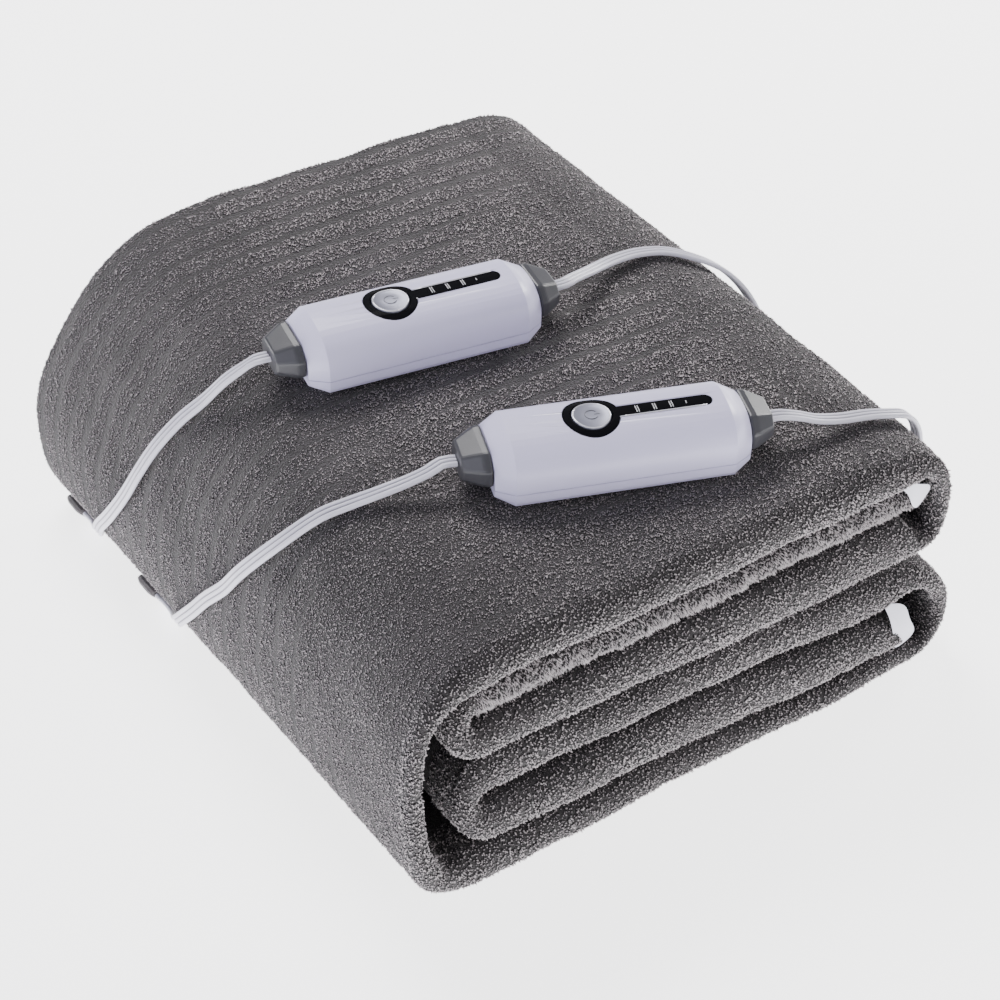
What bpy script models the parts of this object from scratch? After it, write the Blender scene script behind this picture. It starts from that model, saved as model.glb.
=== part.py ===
"""Folded plush heated mattress pad with two in-line controllers, built in metres, +Z up.

X runs along the folded section, Y from the near rolled edges to the open back, and the
bottom layer rests on z = 0. Every table below is in millimetres.
"""

import math

import bmesh
import bpy
import numpy as np
from mathutils import Matrix, Vector

MM = 0.001
TOUCH = 0.3  # running gap between pieces that touch

# ---------------------------------------------------------------- driving sizes (mm)

# the folded pad
DEPTH = 325.0  # near rolled edges to open back edges
COLUMNS_X = (40.0, 130.0, 240.0)  # where the layer heights below are given
BACK_RISE = (1.10, 1.11, 1.085)  # how much loftier the stack is at the back, at COLUMNS_X
# each layer: underside and top at COLUMNS_X, inset of its near roll, reach of its back edge
LAYERS = {
    #        underside             top                    near  back
    "top": ((109.5, 107.5, 108.0), (127.0, 128.0, 127.5), 0.0, 320.0),
    "second": ((91.0, 91.5, 91.0), (108.5, 106.5, 107.0), 5.0, 315.0),
    "third": ((71.5, 67.5, 64.0), (90.0, 90.5, 90.0), 1.0, 322.0),
    "fourth": ((47.5, 45.0, 37.0), (70.0, 66.0, 62.0), 3.5, 317.0),
    "fifth": ((23.0, 19.0, 14.0), (44.5, 44.0, 36.0), 1.0, 321.0),
    "bottom": ((0.0, 0.0, 0.0), (22.0, 18.0, 13.0), 1.5, 320.0),
}
SECOND_END_X = 250.0  # cut end of the pad inside the upper right loop
FIFTH_END_X = 256.0  # cut end inside the lower right loop
# outer face of each big turn, as (x, z) at the near side
UPPER_LOOP = (
    (232, 64.2), (248, 65), (261, 68), (269, 76), (272, 91), (269, 107), (260, 120), (245, 126.5),
    (226, 127.6),
)
LOWER_LOOP = (
    (232, 0), (254, 0), (269, 2), (279, 9.5), (284, 22), (281, 37), (272, 50), (260, 58.5), (247, 61.5),
    (230, 62.1),
)
WRAP_NEAR = (
    (58, 127.3), (40, 126.6), (22, 121), (9, 110), (1.5, 93), (0, 72), (1.5, 48), (4, 28), (9, 12), (19, 3),
    (33, 0), (46, 0),
)
WRAP_BACK = (
    (96, 141.3), (78, 141), (60, 138), (39, 126), (18, 107), (4, 85), (-4, 62), (-5, 40), (-2, 22), (7, 7),
    (23, 0), (40, 0),
)
LOOP_THICKNESS = 10.0  # the cloth is stretched thin round the big turns
WRAP_THICKNESS = 10.5
LOOP_SWELL = 7.0  # the right loops stand this much further out behind their pinched near rims
SWELL_OVER = 16.0
THIN_FROM = 0.1  # share of a big turn's length where it starts to thin
THIN_OVER = 0.24
# tight inner folds at the left: centre and outer reach, near and back
UPPER_FOLD = {"centre": (37.0, 52.0), "reach": 17.0, "crease": 4.0}
LOWER_FOLD = {"centre": (45.0, 48.0), "reach": 21.0, "crease": 8.0}
ROLL = 9.0  # depth of the rolled near edges
PARTING_HALF = 0.06  # half width of the groove between the two plies' back ends, as a share of a layer
PARTING_DEPTH = 6.0
PLY_STEP = 1.5  # the inner ply reaches this much further back
CUT_END = 3.0  # rounding of the pad's two cut ends
CUT_END_SHARE = 0.7

# the two in-line controllers: centre of the underside on the pad, and turn about Z
CONTROLLERS = {
    "front": {"x": 139.5, "y": 65.5, "turn": -20.0},
    "back": {"x": 114.0, "y": 173.0, "turn": -10.2},
}
CONTROLLER_LIFT = 0.7  # clears the slight crown of the pad's top
BODY_HALF = 44.8  # half length of the full section
BODY_END = 52.4  # half length at the cable sleeves
BODY_WIDTH = 40.0
BODY_HEIGHT = 25.0
ABOVE = 34.0  # a height clear of the body, for the cutters
BODY_WALL = 8.0  # height of the upright lower walls
PARTING = 6.5  # height of the joint between the two shells
END_INSET = 4.6  # the sloping ends draw in by this much at each side
END_DROP = 3.6  # and by this much at the crown
LOWER_END_RISE = 0.55  # share of the lower shell's depth left at its ends
ARCH_POWER = 0.78  # squareness of the body's arched section
SLEEVE_TIP = 64.0
SLEEVE_GAP = 0.5
SLEEVE_COLLAR = 3.5  # the sleeve's length before it tapers
COLLAR_TAPER = 0.12
SLEEVE = ((30.0, 17.5), (18.5, 11.5))  # width and height at the body and at the tip
# corners of the faceted sleeve, as shares of its width and height
SLEEVE_SECTION = ((0.5, -0.2), (0.5, 0.2), (0.3, 0.5), (-0.3, 0.5), (-0.5, 0.2), (-0.5, -0.2), (-0.3, -0.5),
                  (0.3, -0.5))
SLEEVE_EDGE = 0.9
CORD_HEIGHT = 11.5  # the leads leave the sleeves at this height
WINDOW_RADIUS = 11.4
WINDOW_BAR = 3.1  # half width of the indicator bar
WINDOW_TIP = 39.4
WINDOW_FLOOR = 20.4
WINDOW_PROUD = 0.12
BUTTON_X = -10.2
BUTTON_RADIUS = 8.2
BUTTON_PROUD = 0.5
BUTTON_DOME = 0.6  # drop from the button's crown to its rounded rim
BUTTON_HEIGHT = 5.3
BUTTON_TRAVEL = 0.6
BUTTON_REST = 0.5  # left under the button at the end of its travel

# blank sewn labels at the pad's cut ends: centre, turn about Y, width and height
LABELS = {
    "upper_label": {"centre": (256.5, -0.15, 98.0), "turn": 38.0, "size": (13.0, 12.0)},
    "lower_label": {"centre": (264.7, 6.0, 24.5), "turn": -7.0, "size": (9.0, 19.0)},
}
LABEL_THICKNESS = 0.9

# flat three-core leads
CORD_WIDTH = 6.6
CORD_THICK = 2.4
CORD_STEP = 10.0  # between sections of a lead
TAIL_STEP = 6.0
CORD_EXIT = 6.0  # straight run out of a sleeve
# corners of a flat section, as shares of its width and thickness
FLAT_SECTION = ((-0.5, -0.2), (-0.5, 0.2), (-0.38, 0.5), (0.38, 0.5), (0.5, 0.2), (0.5, -0.2), (0.38, -0.5),
                (-0.38, -0.5))
# each lead's way from its sleeve: x, y, z, and lean, the turn of its flat side about Y from facing up
PAD_LEADS = {
    "front": (
        (68.1, 89.6, 141.9, 0), (60.3, 92.5, 138.5, -3), (47.9, 97.1, 134.5, -11),
        (39.2, 102.0, 130.5, -22), (28.0, 106.6, 126.3, -33), (13.2, 115.1, 112.9, -53),
        (3.1, 128.9, 93.6, -69), (-0.8, 141.0, 77.0, -79), (-3.0, 154.4, 62.1, -83),
        (-3.6, 168.0, 46.0, -92), (-2.7, 181.9, 30.7, -101), (-0.8, 191.0, 21.1, -106),
        (2.1, 200.0, 13.5, -120), (5.1, 209.0, 8.8, -132), (7.0, 218.0, 6.4, -132),
        (7.2, 226.0, 6.1, -132),
    ),
    "back": (
        (41.4, 187.2, 144.6, -6), (34.0, 192.0, 137.4, -24), (27.2, 199.0, 126.0, -36),
        (18.3, 206.0, 114.8, -47), (8.5, 212.4, 100.5, -62), (1.6, 218.6, 85.2, -69),
        (-2.6, 226.5, 70.5, -78), (-4.6, 235.3, 57.5, -83), (-5.3, 247.0, 43.0, -93),
        (-4.3, 259.3, 29.9, -100), (-2.4, 267.0, 20.9, -110), (0.6, 276.0, 13.2, -121),
        (3.6, 284.0, 8.8, -131), (5.5, 291.0, 6.6, -131), (5.8, 297.0, 6.2, -131),
    ),
}
MAINS_LEADS = {
    "front": (
        (213.2, 39.0, 139.4, 0), (222.2, 37.2, 135.2, 1), (233.4, 35.4, 131.9, 2),
        (246.3, 33.2, 129.8, 15), (255.9, 31.4, 127.5, 28), (266.0, 30.9, 123.2, 46),
        (273.3, 31.8, 115.0, 63), (278.4, 33.6, 103.4, 76), (280.5, 36.5, 90.0, 86),
        (281.6, 41.0, 77.0, 90), (282.8, 46.0, 64.0, 90), (286.2, 52.0, 51.0, 90),
        (290.8, 59.0, 38.2, 90), (293.4, 67.0, 26.0, 90), (293.4, 77.0, 14.5, 90),
        (294.8, 87.5, 7.0, 90), (297.0, 98.0, 4.2, 90), (299.4, 106.0, 3.9, 90),
        (300.2, 110.2, 3.9, 90),
    ),
    "back": (
        (190.2, 163.2, 146.0, 0), (201.7, 168.2, 142.4, 1), (213.0, 173.0, 139.2, 1),
        (224.0, 175.8, 137.2, 2), (236.1, 176.6, 135.4, 4), (248.5, 172.7, 133.9, 14),
        (259.6, 165.0, 130.6, 26), (269.4, 159.0, 125.0, 45), (276.2, 152.5, 117.4, 61),
        (280.6, 146.5, 107.8, 76), (282.2, 140.0, 97.0, 88), (282.6, 134.0, 85.0, 90),
        (283.4, 129.5, 72.0, 90), (286.0, 126.0, 59.0, 90), (290.2, 125.0, 46.0, 90),
        (293.2, 128.0, 33.0, 90), (294.2, 135.0, 21.0, 90), (294.5, 146.0, 11.5, 90),
        (294.5, 160.0, 6.0, 90), (294.5, 180.0, 4.1, 90), (294.7, 205.0, 3.9, 90),
        (296.2, 228.0, 3.9, 90), (298.8, 244.0, 3.9, 90), (300.2, 252.2, 3.9, 90),
    ),
}
# the moulded entries where the pad leads go into the cloth, under its left roll
GLANDS = {"front": (7.2, 226.3, 6.1), "back": (5.8, 297.3, 6.2)}
GLAND_LEAN = -131.0
GLAND = ((0.0, 7.4, 3.0), (3.0, 9.0, 3.9), (11.0, 9.0, 3.9), (14.0, 7.4, 3.0))  # run, width and thickness
# the hanks the mains leads are wound in, beside the pad: centre of the near round end
HANKS = {"front": (318.0, 122.0), "back": (318.0, 264.0)}
HANK_RUN = 100.0
HANK_HALF = 20.2
HANK_LOW = 0.4
HANK_HIGH = 14.4
# from the hank's near centre: the free end of the lead, then the plug's mouth
TAIL = ((21.8, 76.0, 10.6, 90), (22.6, 69.0, 10.7, 90), (26.4, 58.0, 11.1, 90), (29.0, 50.0, 11.3, 90),
        (29.2, 45.0, 11.3, 90))
PLUG_MOUTH = (29.2, 44.7, 11.3)
# run from the mouth, height and thickness
PLUG = ((0.0, 9.5, 5.0), (9.0, 12.5, 8.0), (11.0, 18.0, 13.0), (15.0, 22.0, 15.6), (33.0, 22.0, 15.6),
        (35.0, 20.6, 14.2))
BLADE = (6.3, 17.0, 1.5)
BLADE_APART = 12.7

ORIGIN = (142.8, 161.3)  # the middle of the pad and its controllers


def collection(name):
    made = bpy.data.collections.new(name)
    bpy.context.scene.collection.children.link(made)
    return made


for old in list(bpy.data.objects):
    bpy.data.objects.remove(old, do_unlink=True)
PARTS = collection("heated_mattress_pad")
CUTTERS = collection("cutters")


def material(name, color, roughness, metallic=0.0):
    made = bpy.data.materials.new(name)
    made.use_nodes = True
    shader = made.node_tree.nodes["Principled BSDF"]
    shader.inputs["Base Color"].default_value = (*color, 1.0)
    shader.inputs["Roughness"].default_value = roughness
    shader.inputs["Metallic"].default_value = metallic
    return made


def add_object(name, mesh, finish, smooth_angle=35):
    made = bpy.data.objects.new(name, mesh)
    PARTS.objects.link(made)
    mesh.materials.clear()
    mesh.materials.append(finish)
    mesh.shade_smooth()
    mesh.set_sharp_from_angle(angle=math.radians(smooth_angle))
    return made


def loft(name, rings):
    """A closed body through rings of equal length (mm), its two ends capped."""
    rings = np.asarray(rings) * MM
    count, size = rings.shape[:2]
    shape = bmesh.new()
    verts = [[shape.verts.new(point) for point in ring] for ring in rings]
    for low, high in zip(verts[:-1], verts[1:]):
        for i in range(size):
            j = (i + 1) % size
            shape.faces.new((low[i], low[j], high[j], high[i]))
    shape.faces.new(verts[0][::-1])
    shape.faces.new(verts[count - 1])
    bmesh.ops.recalc_face_normals(shape, faces=shape.faces)
    mesh = bpy.data.meshes.new(name)
    shape.to_mesh(mesh)
    shape.free()
    return mesh


def smooth_line(points, count):
    """count points at even spacing along a smooth curve through the given points."""
    points = np.asarray(points, float)
    gaps = np.linalg.norm(np.diff(points, axis=0), axis=1)
    knots = np.concatenate([[0.0], np.cumsum(gaps)])
    slopes = np.empty_like(points)
    slopes[1:-1] = (points[2:] - points[:-2]) / (knots[2:] - knots[:-2])[:, None]
    slopes[0] = (points[1] - points[0]) / gaps[0]
    slopes[-1] = (points[-1] - points[-2]) / gaps[-1]

    def at(where):
        i = np.clip(np.searchsorted(knots, where, "right") - 1, 0, len(gaps) - 1)
        h = gaps[i][:, None]
        u = ((where - knots[i]) / gaps[i])[:, None]
        return (
            (2 * u**3 - 3 * u**2 + 1) * points[i]
            + (u**3 - 2 * u**2 + u) * h * slopes[i]
            + (3 * u**2 - 2 * u**3) * points[i + 1]
            + (u**3 - u**2) * h * slopes[i + 1]
        )

    fine = at(np.linspace(0.0, knots[-1], 30 * len(points)))
    run = np.concatenate([[0.0], np.cumsum(np.linalg.norm(np.diff(fine, axis=0), axis=1))])
    even = np.interp(np.linspace(0.0, run[-1], count), run, np.linspace(0.0, knots[-1], len(fine)))
    return at(even)


# ---------------------------------------------------------------- the folded pad


def height(values, x, back):
    """A layer face's height at x: a parabola through its three given heights."""
    values = np.array(values) * (1.0 + back * (np.array(BACK_RISE) - 1.0))
    x = np.asarray(x, float)
    total = np.zeros_like(x)
    for i, xi in enumerate(COLUMNS_X):
        term = np.full_like(x, values[i])
        for j, xj in enumerate(COLUMNS_X):
            if j != i:
                term = term * (x - xj) / (xi - xj)
        total += term
    return total


def flat_run(layer, start, end, back, count):
    """The outward and inward faces of one layer from x = start to end, each (x, z)."""
    low, high = LAYERS[layer][:2]
    x = np.linspace(start, end, count)
    low, high = (np.column_stack([x, height(face, x, back)]) for face in (low, high))
    return (high, low) if end < start else (low, high)


def tight_fold(upper, lower, fold, back, count):
    """A small fold at the left from layer upper down to layer lower."""
    centre = fold["centre"][0] * (1 - back) + fold["centre"][1] * back
    faces = []
    for reach, top, low in (
        (fold["reach"], LAYERS[upper][1], LAYERS[lower][0]),
        (fold["crease"], LAYERS[upper][0], LAYERS[lower][1]),
    ):
        top, low = height(top, [centre], back)[0], height(low, [centre], back)[0]
        turn = np.linspace(0.0, math.pi, count + 2)[1:-1]
        faces.append(
            np.column_stack([
                centre - reach * np.sin(turn) ** 0.85,
                (top + low) / 2 + (top - low) / 2 * np.cos(turn),
            ])
        )
    return faces


def big_turn(outline, entry, middle, leaving, back_rise, count):
    """A wide turn: its outer face is a smooth line, and its thickness thins in the middle."""
    outer = smooth_line(outline, count + 2)
    outer[:, 1] *= back_rise
    along = np.gradient(outer, axis=0)
    along /= np.linalg.norm(along, axis=1)[:, None]
    inward = np.column_stack([-along[:, 1], along[:, 0]])
    share = np.linspace(0.0, 1.0, count + 2)
    from_end = np.clip((np.minimum(share, 1 - share) - THIN_FROM) / THIN_OVER, 0.0, 1.0)
    thin = from_end**2 * (3 - 2 * from_end)
    thick = (entry + (leaving - entry) * share) * (1 - thin) + middle * thin
    inner = outer + inward * thick[:, None]
    return outer[1:-1], inner[1:-1]


def thickness(layer, x, back):
    low, high = LAYERS[layer][:2]
    return float(height(high, [x], back)[0] - height(low, [x], back)[0])


def section(back):
    """The pad's outer and inner face along its whole length, and each point's near inset, back
    reach and swell."""
    rise = 1.0 + back * (BACK_RISE[2] - 1.0)
    upper_x = UPPER_FOLD["centre"][0] * (1 - back) + UPPER_FOLD["centre"][1] * back
    lower_x = LOWER_FOLD["centre"][0] * (1 - back) + LOWER_FOLD["centre"][1] * back
    wrap = np.array(WRAP_NEAR) * (1 - back) + np.array(WRAP_BACK) * back

    def turn(outline, first, last, middle, lift, count):
        return big_turn(
            outline,
            thickness(first, outline[0][0], back),
            middle,
            thickness(last, outline[-1][0], back),
            lift,
            count,
        )

    steps = (
        ("second", flat_run("second", SECOND_END_X, upper_x, back, 4)),
        ("", tight_fold("second", "third", UPPER_FOLD, back, 6)),
        ("third", flat_run("third", upper_x, UPPER_LOOP[0][0], back, 4)),
        ("loop", turn(UPPER_LOOP, "third", "top", LOOP_THICKNESS, rise, 10)),
        ("top", flat_run("top", UPPER_LOOP[-1][0], wrap[0][0], back, 4)),
        ("", turn(wrap, "top", "bottom", WRAP_THICKNESS, 1.0, 14)),
        ("bottom", flat_run("bottom", wrap[-1][0], LOWER_LOOP[0][0], back, 4)),
        ("loop", turn(LOWER_LOOP, "bottom", "fourth", LOOP_THICKNESS, rise, 10)),
        ("fourth", flat_run("fourth", LOWER_LOOP[-1][0], lower_x, back, 4)),
        ("", tight_fold("fourth", "fifth", LOWER_FOLD, back, 6)),
        ("fifth", flat_run("fifth", lower_x, FIFTH_END_X, back, 4)),
    )
    faces = [np.concatenate([pair[side] for _, pair in steps]) for side in (0, 1)]
    named = [layer for layer, pair in steps for _ in pair[0]]
    known = [i for i, layer in enumerate(named) if layer in LAYERS]
    swell = np.concatenate([
        np.sin(np.linspace(0.0, math.pi, len(pair[0]))) * (LOOP_SWELL if layer == "loop" else 0.0)
        for layer, pair in steps
    ])
    every = np.arange(len(named))
    near, reach = (
        np.interp(every, known, [LAYERS[named[i]][column] for i in known]) for column in (2, 3)
    )
    return *faces, near, reach, swell


def pad_ring(thick, near, reach):
    """The hairpin across a layer: (share from outer to inner face, y), one rolled near edge and
    two plies whose ends part at the back."""
    roll = min(ROLL, 0.55 * thick)
    nose = [
        (0.5 - 0.5 * math.cos(turn), near + roll * (1 - math.sin(turn)))
        for turn in np.linspace(0.0, math.pi, 6)
    ]
    sides = np.array((0.09, 0.22, 0.84)) * DEPTH
    ply_end = ((0.0, 4.0), (0.1, 0.5), (0.38, 0.5), (0.5 - PARTING_HALF, 2.5))
    outer_ply = [(u, reach - back) for u, back in ply_end]
    inner_ply = [(1 - u, y + PLY_STEP) for u, y in outer_ply[::-1]]
    groove = [(0.5, reach - PARTING_DEPTH)]
    inner_side = [(1.0, y) for y in sides[::-1]]
    outer_side = [(0.0, y) for y in sides]
    return outer_side + outer_ply + groove + inner_ply + inner_side + nose[::-1]


def rounded_end(ring):
    """One more ring past a cut end of the pad, a little thinner."""
    middle = (ring[:, 2].max() + ring[:, 2].min()) / 2
    end = ring.copy()
    end[:, 0] += CUT_END
    end[:, 2] = middle + (end[:, 2] - middle) * CUT_END_SHARE
    return end


def make_pad():
    near_faces, back_faces = section(0.0), section(1.0)
    inset, reach, swell = near_faces[2:]
    outer, inner = ((near_faces[i], back_faces[i]) for i in (0, 1))
    rings = []
    for i in range(len(inset)):
        thick = np.linalg.norm(outer[0][i] - inner[0][i])
        ring = []
        for u, y in pad_ring(thick, inset[i], reach[i]):
            v = y / DEPTH
            x, z = (
                (outer[0][i] * (1 - u) + inner[0][i] * u) * (1 - v)
                + (outer[1][i] * (1 - u) + inner[1][i] * u) * v
            )
            x += swell[i] * (1 - math.exp(-max(y, 0.0) / SWELL_OVER))
            ring.append((x, y, max(z, 0.0)))
        rings.append(np.array(ring))
    return add_object("pad", loft("pad", [rounded_end(rings[0]), *rings, rounded_end(rings[-1])]), PLUSH)


# ---------------------------------------------------------------- the controllers


def arch(steps=20):
    """The body's outline from its right wall over the crown to its left wall, as (y, z)."""
    outline = []
    for turn in np.linspace(0.0, math.pi, steps + 1):
        across, up = math.cos(turn), math.sin(turn)
        y = BODY_WIDTH / 2 * math.copysign(abs(across) ** ARCH_POWER, across)
        outline.append((y, BODY_WALL + (BODY_HEIGHT - BODY_WALL) * up**ARCH_POWER))
    return outline


def upper_outline():
    joint = PARTING + TOUCH / 2
    return [(BODY_WIDTH / 2, joint), *arch(), (-BODY_WIDTH / 2, joint)]


def lower_outline():
    half, joint = BODY_WIDTH / 2, PARTING - TOUCH / 2
    right = [(half, joint), (half, 2.4), (half - 0.7, 0.7), (half - 2.4, 0.0)]
    return right + [(-y, z) for y, z in right[::-1]]


def body_shell(name, outline, end_rise):
    """A shell with its outline drawn in at both ends, the joint between the shells staying level."""
    joint = outline[0][1]
    draw = 1 - 2 * END_INSET / BODY_WIDTH
    ends = [(y * draw, joint + (z - joint) * end_rise) for y, z in outline]
    rows = ((-BODY_END, ends), (-BODY_HALF, outline), (BODY_HALF, outline), (BODY_END, ends))
    return loft(name, [[(x, y, z) for y, z in ring] for x, ring in rows])


def keyhole(grow):
    """The indicator window's outline: a ring round the button and a round-ended bar."""
    radius, half = WINDOW_RADIUS + grow, WINDOW_BAR + grow
    start = math.asin(half / radius)
    ring = [
        (BUTTON_X + radius * math.cos(turn), radius * math.sin(turn))
        for turn in np.linspace(start, 2 * math.pi - start, 40)
    ]
    tip = WINDOW_TIP + grow - half
    cap = [
        (tip + half * math.cos(turn), half * math.sin(turn))
        for turn in np.linspace(-math.pi / 2, math.pi / 2, 9)
    ]
    return ring + cap


def prism(name, outline, low, high):
    return loft(name, [[(x, y, z) for x, y in outline] for z in (low, high)])


def circle(x, radius, steps=40):
    turns = np.linspace(0.0, 2 * math.pi, steps, endpoint=False)
    return [(x + radius * math.cos(a), radius * math.sin(a)) for a in turns]


def turned(name, profile):
    """A round piece from (radius, height) rows."""
    return loft(name, [[(x, y, z) for x, y in circle(0.0, radius)] for radius, z in profile])


def cut(target, mesh, operation):
    """Apply a Boolean with a hidden cutter, and keep the result as the target's mesh."""
    cutter = bpy.data.objects.new(f"{target.name}_cutter", mesh)
    cutter.hide_render = True
    cutter.display_type = "WIRE"
    CUTTERS.objects.link(cutter)
    step = target.modifiers.new("cut", "BOOLEAN")
    step.operation = operation
    step.object = cutter
    step.solver = "EXACT"
    bpy.context.view_layer.update()
    evaluated = target.evaluated_get(bpy.context.evaluated_depsgraph_get())
    result = bpy.data.meshes.new_from_object(evaluated)
    target.modifiers.clear()
    target.data = result
    result.shade_smooth()
    result.set_sharp_from_angle(angle=math.radians(35))


def place(made, base):
    made.parent = base
    return made


def make_sleeve(name, side, base):
    """A soft faceted cable sleeve that tapers from the body to the lead."""
    rings = []
    middle = (CORD_HEIGHT + BODY_HEIGHT / 2) / 2
    rows = (
        (BODY_END + SLEEVE_GAP, 0.0, middle),
        (BODY_END + SLEEVE_COLLAR, COLLAR_TAPER, middle),
        (SLEEVE_TIP, 1.0, CORD_HEIGHT),
    )
    for x, share, z in rows:
        wide, tall = (big + (small - big) * share for big, small in zip(*SLEEVE))
        rings.append([(side * x, wide * a, z + tall * b) for a, b in SLEEVE_SECTION])
    made = add_object(name, loft(name, rings), SLEEVE_GREY)
    soft = made.modifiers.new("soft_edges", "BEVEL")
    soft.width = SLEEVE_EDGE * MM
    soft.segments = 2
    soft.limit_method = "ANGLE"
    soft.angle_limit = math.radians(15)
    return place(made, base)


def pad_top(x, y):
    near, far = (height(LAYERS["top"][1], [x], side)[0] for side in (0.0, 1.0))
    return near + (far - near) * y / DEPTH


def resting_place(at):
    """A controller's frame: its underside lies along the pad's top, which rises to the back."""
    x, y, reach = at["x"], at["y"], 20.0
    middle = pad_top(x, y)
    normal = Vector((
        (pad_top(x - reach, y) - pad_top(x + reach, y)) / (2 * reach),
        (pad_top(x, y - reach) - pad_top(x, y + reach)) / (2 * reach),
        1.0,
    )).normalized()
    lean = Vector((0.0, 0.0, 1.0)).rotation_difference(normal).to_matrix().to_4x4()
    seat = Vector((x, y, middle)) + normal * CONTROLLER_LIFT
    return Matrix.Translation(seat * MM) @ lean @ Matrix.Rotation(math.radians(at["turn"]), 4, "Z")


def make_controller(name, at):
    base = bpy.data.objects.new(f"{name}_controller", None)
    base.matrix_world = resting_place(at)
    PARTS.objects.link(base)

    upper_rise = 1 - END_DROP / (BODY_HEIGHT - PARTING)
    upper = add_object(f"{name}_upper_shell", body_shell("upper", upper_outline(), upper_rise), SHELL_WHITE)
    top = BODY_HEIGHT + BUTTON_PROUD
    well_floor = top - BUTTON_HEIGHT - BUTTON_TRAVEL - BUTTON_REST
    cut(upper, prism("pocket", keyhole(TOUCH), WINDOW_FLOOR, ABOVE), "DIFFERENCE")
    cut(upper, prism("well", circle(BUTTON_X, BUTTON_RADIUS + 2 * TOUCH), well_floor, ABOVE), "DIFFERENCE")
    place(upper, base)
    tray = body_shell("lower", lower_outline(), LOWER_END_RISE)
    lower = add_object(f"{name}_lower_shell", tray, SHELL_WHITE)
    place(lower, base)

    window = add_object(
        f"{name}_window", prism("window", keyhole(0.0), WINDOW_FLOOR + TOUCH, ABOVE), WINDOW_BLACK
    )
    proud = [(-BODY_HALF, WINDOW_PROUD), (BODY_HALF, WINDOW_PROUD)]
    crown = loft("crown", [[(x, y, z + lift) for y, z in upper_outline()] for x, lift in proud])
    cut(window, crown, "INTERSECT")
    cut(window, prism("bore", circle(BUTTON_X, BUTTON_RADIUS + TOUCH), 0.0, ABOVE), "DIFFERENCE")
    place(window, base)

    dome = [
        (1.0, -BUTTON_HEIGHT), (1.0, -1.8 * BUTTON_DOME), (0.94, -BUTTON_DOME), (0.7, -0.5 * BUTTON_DOME),
        (0.25, 0.0),
    ]
    rows = [(share * BUTTON_RADIUS, drop) for share, drop in dome]
    button = add_object(f"{name}_button", turned("button", rows), BUTTON_SILVER)
    button.location = (BUTTON_X * MM, 0.0, top * MM)
    place(button, base)
    make_sleeve(f"{name}_left_sleeve", -1, base)
    make_sleeve(f"{name}_right_sleeve", 1, base)


# ---------------------------------------------------------------- labels, leads and plugs


def box(name, centre, size, turn, finish):
    bpy.ops.mesh.primitive_cube_add(size=1.0)
    made = bpy.context.active_object
    made.name = made.data.name = name
    made.data.transform(Matrix.Diagonal((*(side * MM for side in size), 1.0)))
    made.location = [value * MM for value in centre]
    made.rotation_euler = (0.0, math.radians(turn), 0.0)
    for owner in list(made.users_collection):
        owner.objects.unlink(made)
    PARTS.objects.link(made)
    made.data.materials.append(finish)
    return made


def ribbon(name, stations, finish):
    """A closed body through flat sections: each station is (point, way, lean, width, thickness)."""
    rings = []
    for point, way, lean, wide, thick in stations:
        turn = math.radians(lean)
        across = np.cross(way, (math.sin(turn), 0.0, math.cos(turn)))
        across /= np.linalg.norm(across)
        out = np.cross(across, way)
        rings.append([point + across * wide * a + out * thick * b for a, b in FLAT_SECTION])
    return add_object(name, loft(name, rings), finish)


def unit(vector):
    return vector / np.linalg.norm(vector)


def make_lead(name, route, step=CORD_STEP):
    """A flat lead along a smooth curve through its route; its ends face straight along it."""
    route = np.asarray(route)
    corners = route[:, :3]
    run = np.concatenate([[0.0], np.cumsum(np.linalg.norm(np.diff(corners, axis=0), axis=1))])
    count = round(run[-1] / step) + 1
    line = smooth_line(corners, count)
    ways = [unit(way) for way in np.gradient(line, axis=0)]
    ways[0], ways[-1] = unit(corners[1] - corners[0]), unit(corners[-1] - corners[-2])
    leans = np.interp(np.linspace(0.0, run[-1], count), run, route[:, 3])
    stations = [(point, way, lean, CORD_WIDTH, CORD_THICK) for point, way, lean in zip(line, ways, leans)]
    return ribbon(name, stations, LEAD_WHITE)


def leave_sleeve(controller, side, route):
    """A lead's whole route, its straight run out of the sleeve first."""
    frame = resting_place(CONTROLLERS[controller])
    exits = []
    for run in (TOUCH, CORD_EXIT):
        point = frame @ (Vector((side * (SLEEVE_TIP + run), 0.0, CORD_HEIGHT)) * MM) / MM
        exits.append((*point, 0.0))
    return [*exits, *route]


def make_gland(name, at):
    """The small moulded entry a pad lead ends in."""
    way = np.array((0.0, 1.0, 0.0))
    stations = [(np.array(at) + way * run, way, GLAND_LEAN, wide, thick) for run, wide, thick in GLAND]
    return ribbon(name, stations, LEAD_WHITE)


def make_hank(name, at):
    """The wound length of a mains lead: a block with round ends, two lead widths high."""
    outline = []
    for centre, start in ((at[1] + HANK_RUN, 0.0), (at[1], math.pi)):
        for turn in np.linspace(start, start + math.pi, 17):
            outline.append((at[0] + HANK_HALF * math.cos(turn), centre + HANK_HALF * math.sin(turn)))
    return add_object(name, prism(name, outline, HANK_LOW, HANK_HIGH), LEAD_WHITE)


def make_plug(name, at):
    """A two-blade mains plug lying on its side at the free end of a lead."""
    mouth = np.array((at[0] + PLUG_MOUTH[0], at[1] + PLUG_MOUTH[1], PLUG_MOUTH[2]))
    way = np.array((0.0, -1.0, 0.0))
    stations = [(mouth + way * run, way, 90.0, tall, thick) for run, tall, thick in PLUG]
    ribbon(f"{name}_plug", stations, LEAD_WHITE)
    middle = mouth + way * (PLUG[-1][0] + TOUCH / 2 + BLADE[1] / 2)
    for offset, mark in ((-BLADE_APART / 2, "low"), (BLADE_APART / 2, "high")):
        box(f"{name}_blade_{mark}", middle + np.array((0.0, 0.0, offset)), BLADE, 0.0, BLADE_METAL)


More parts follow.
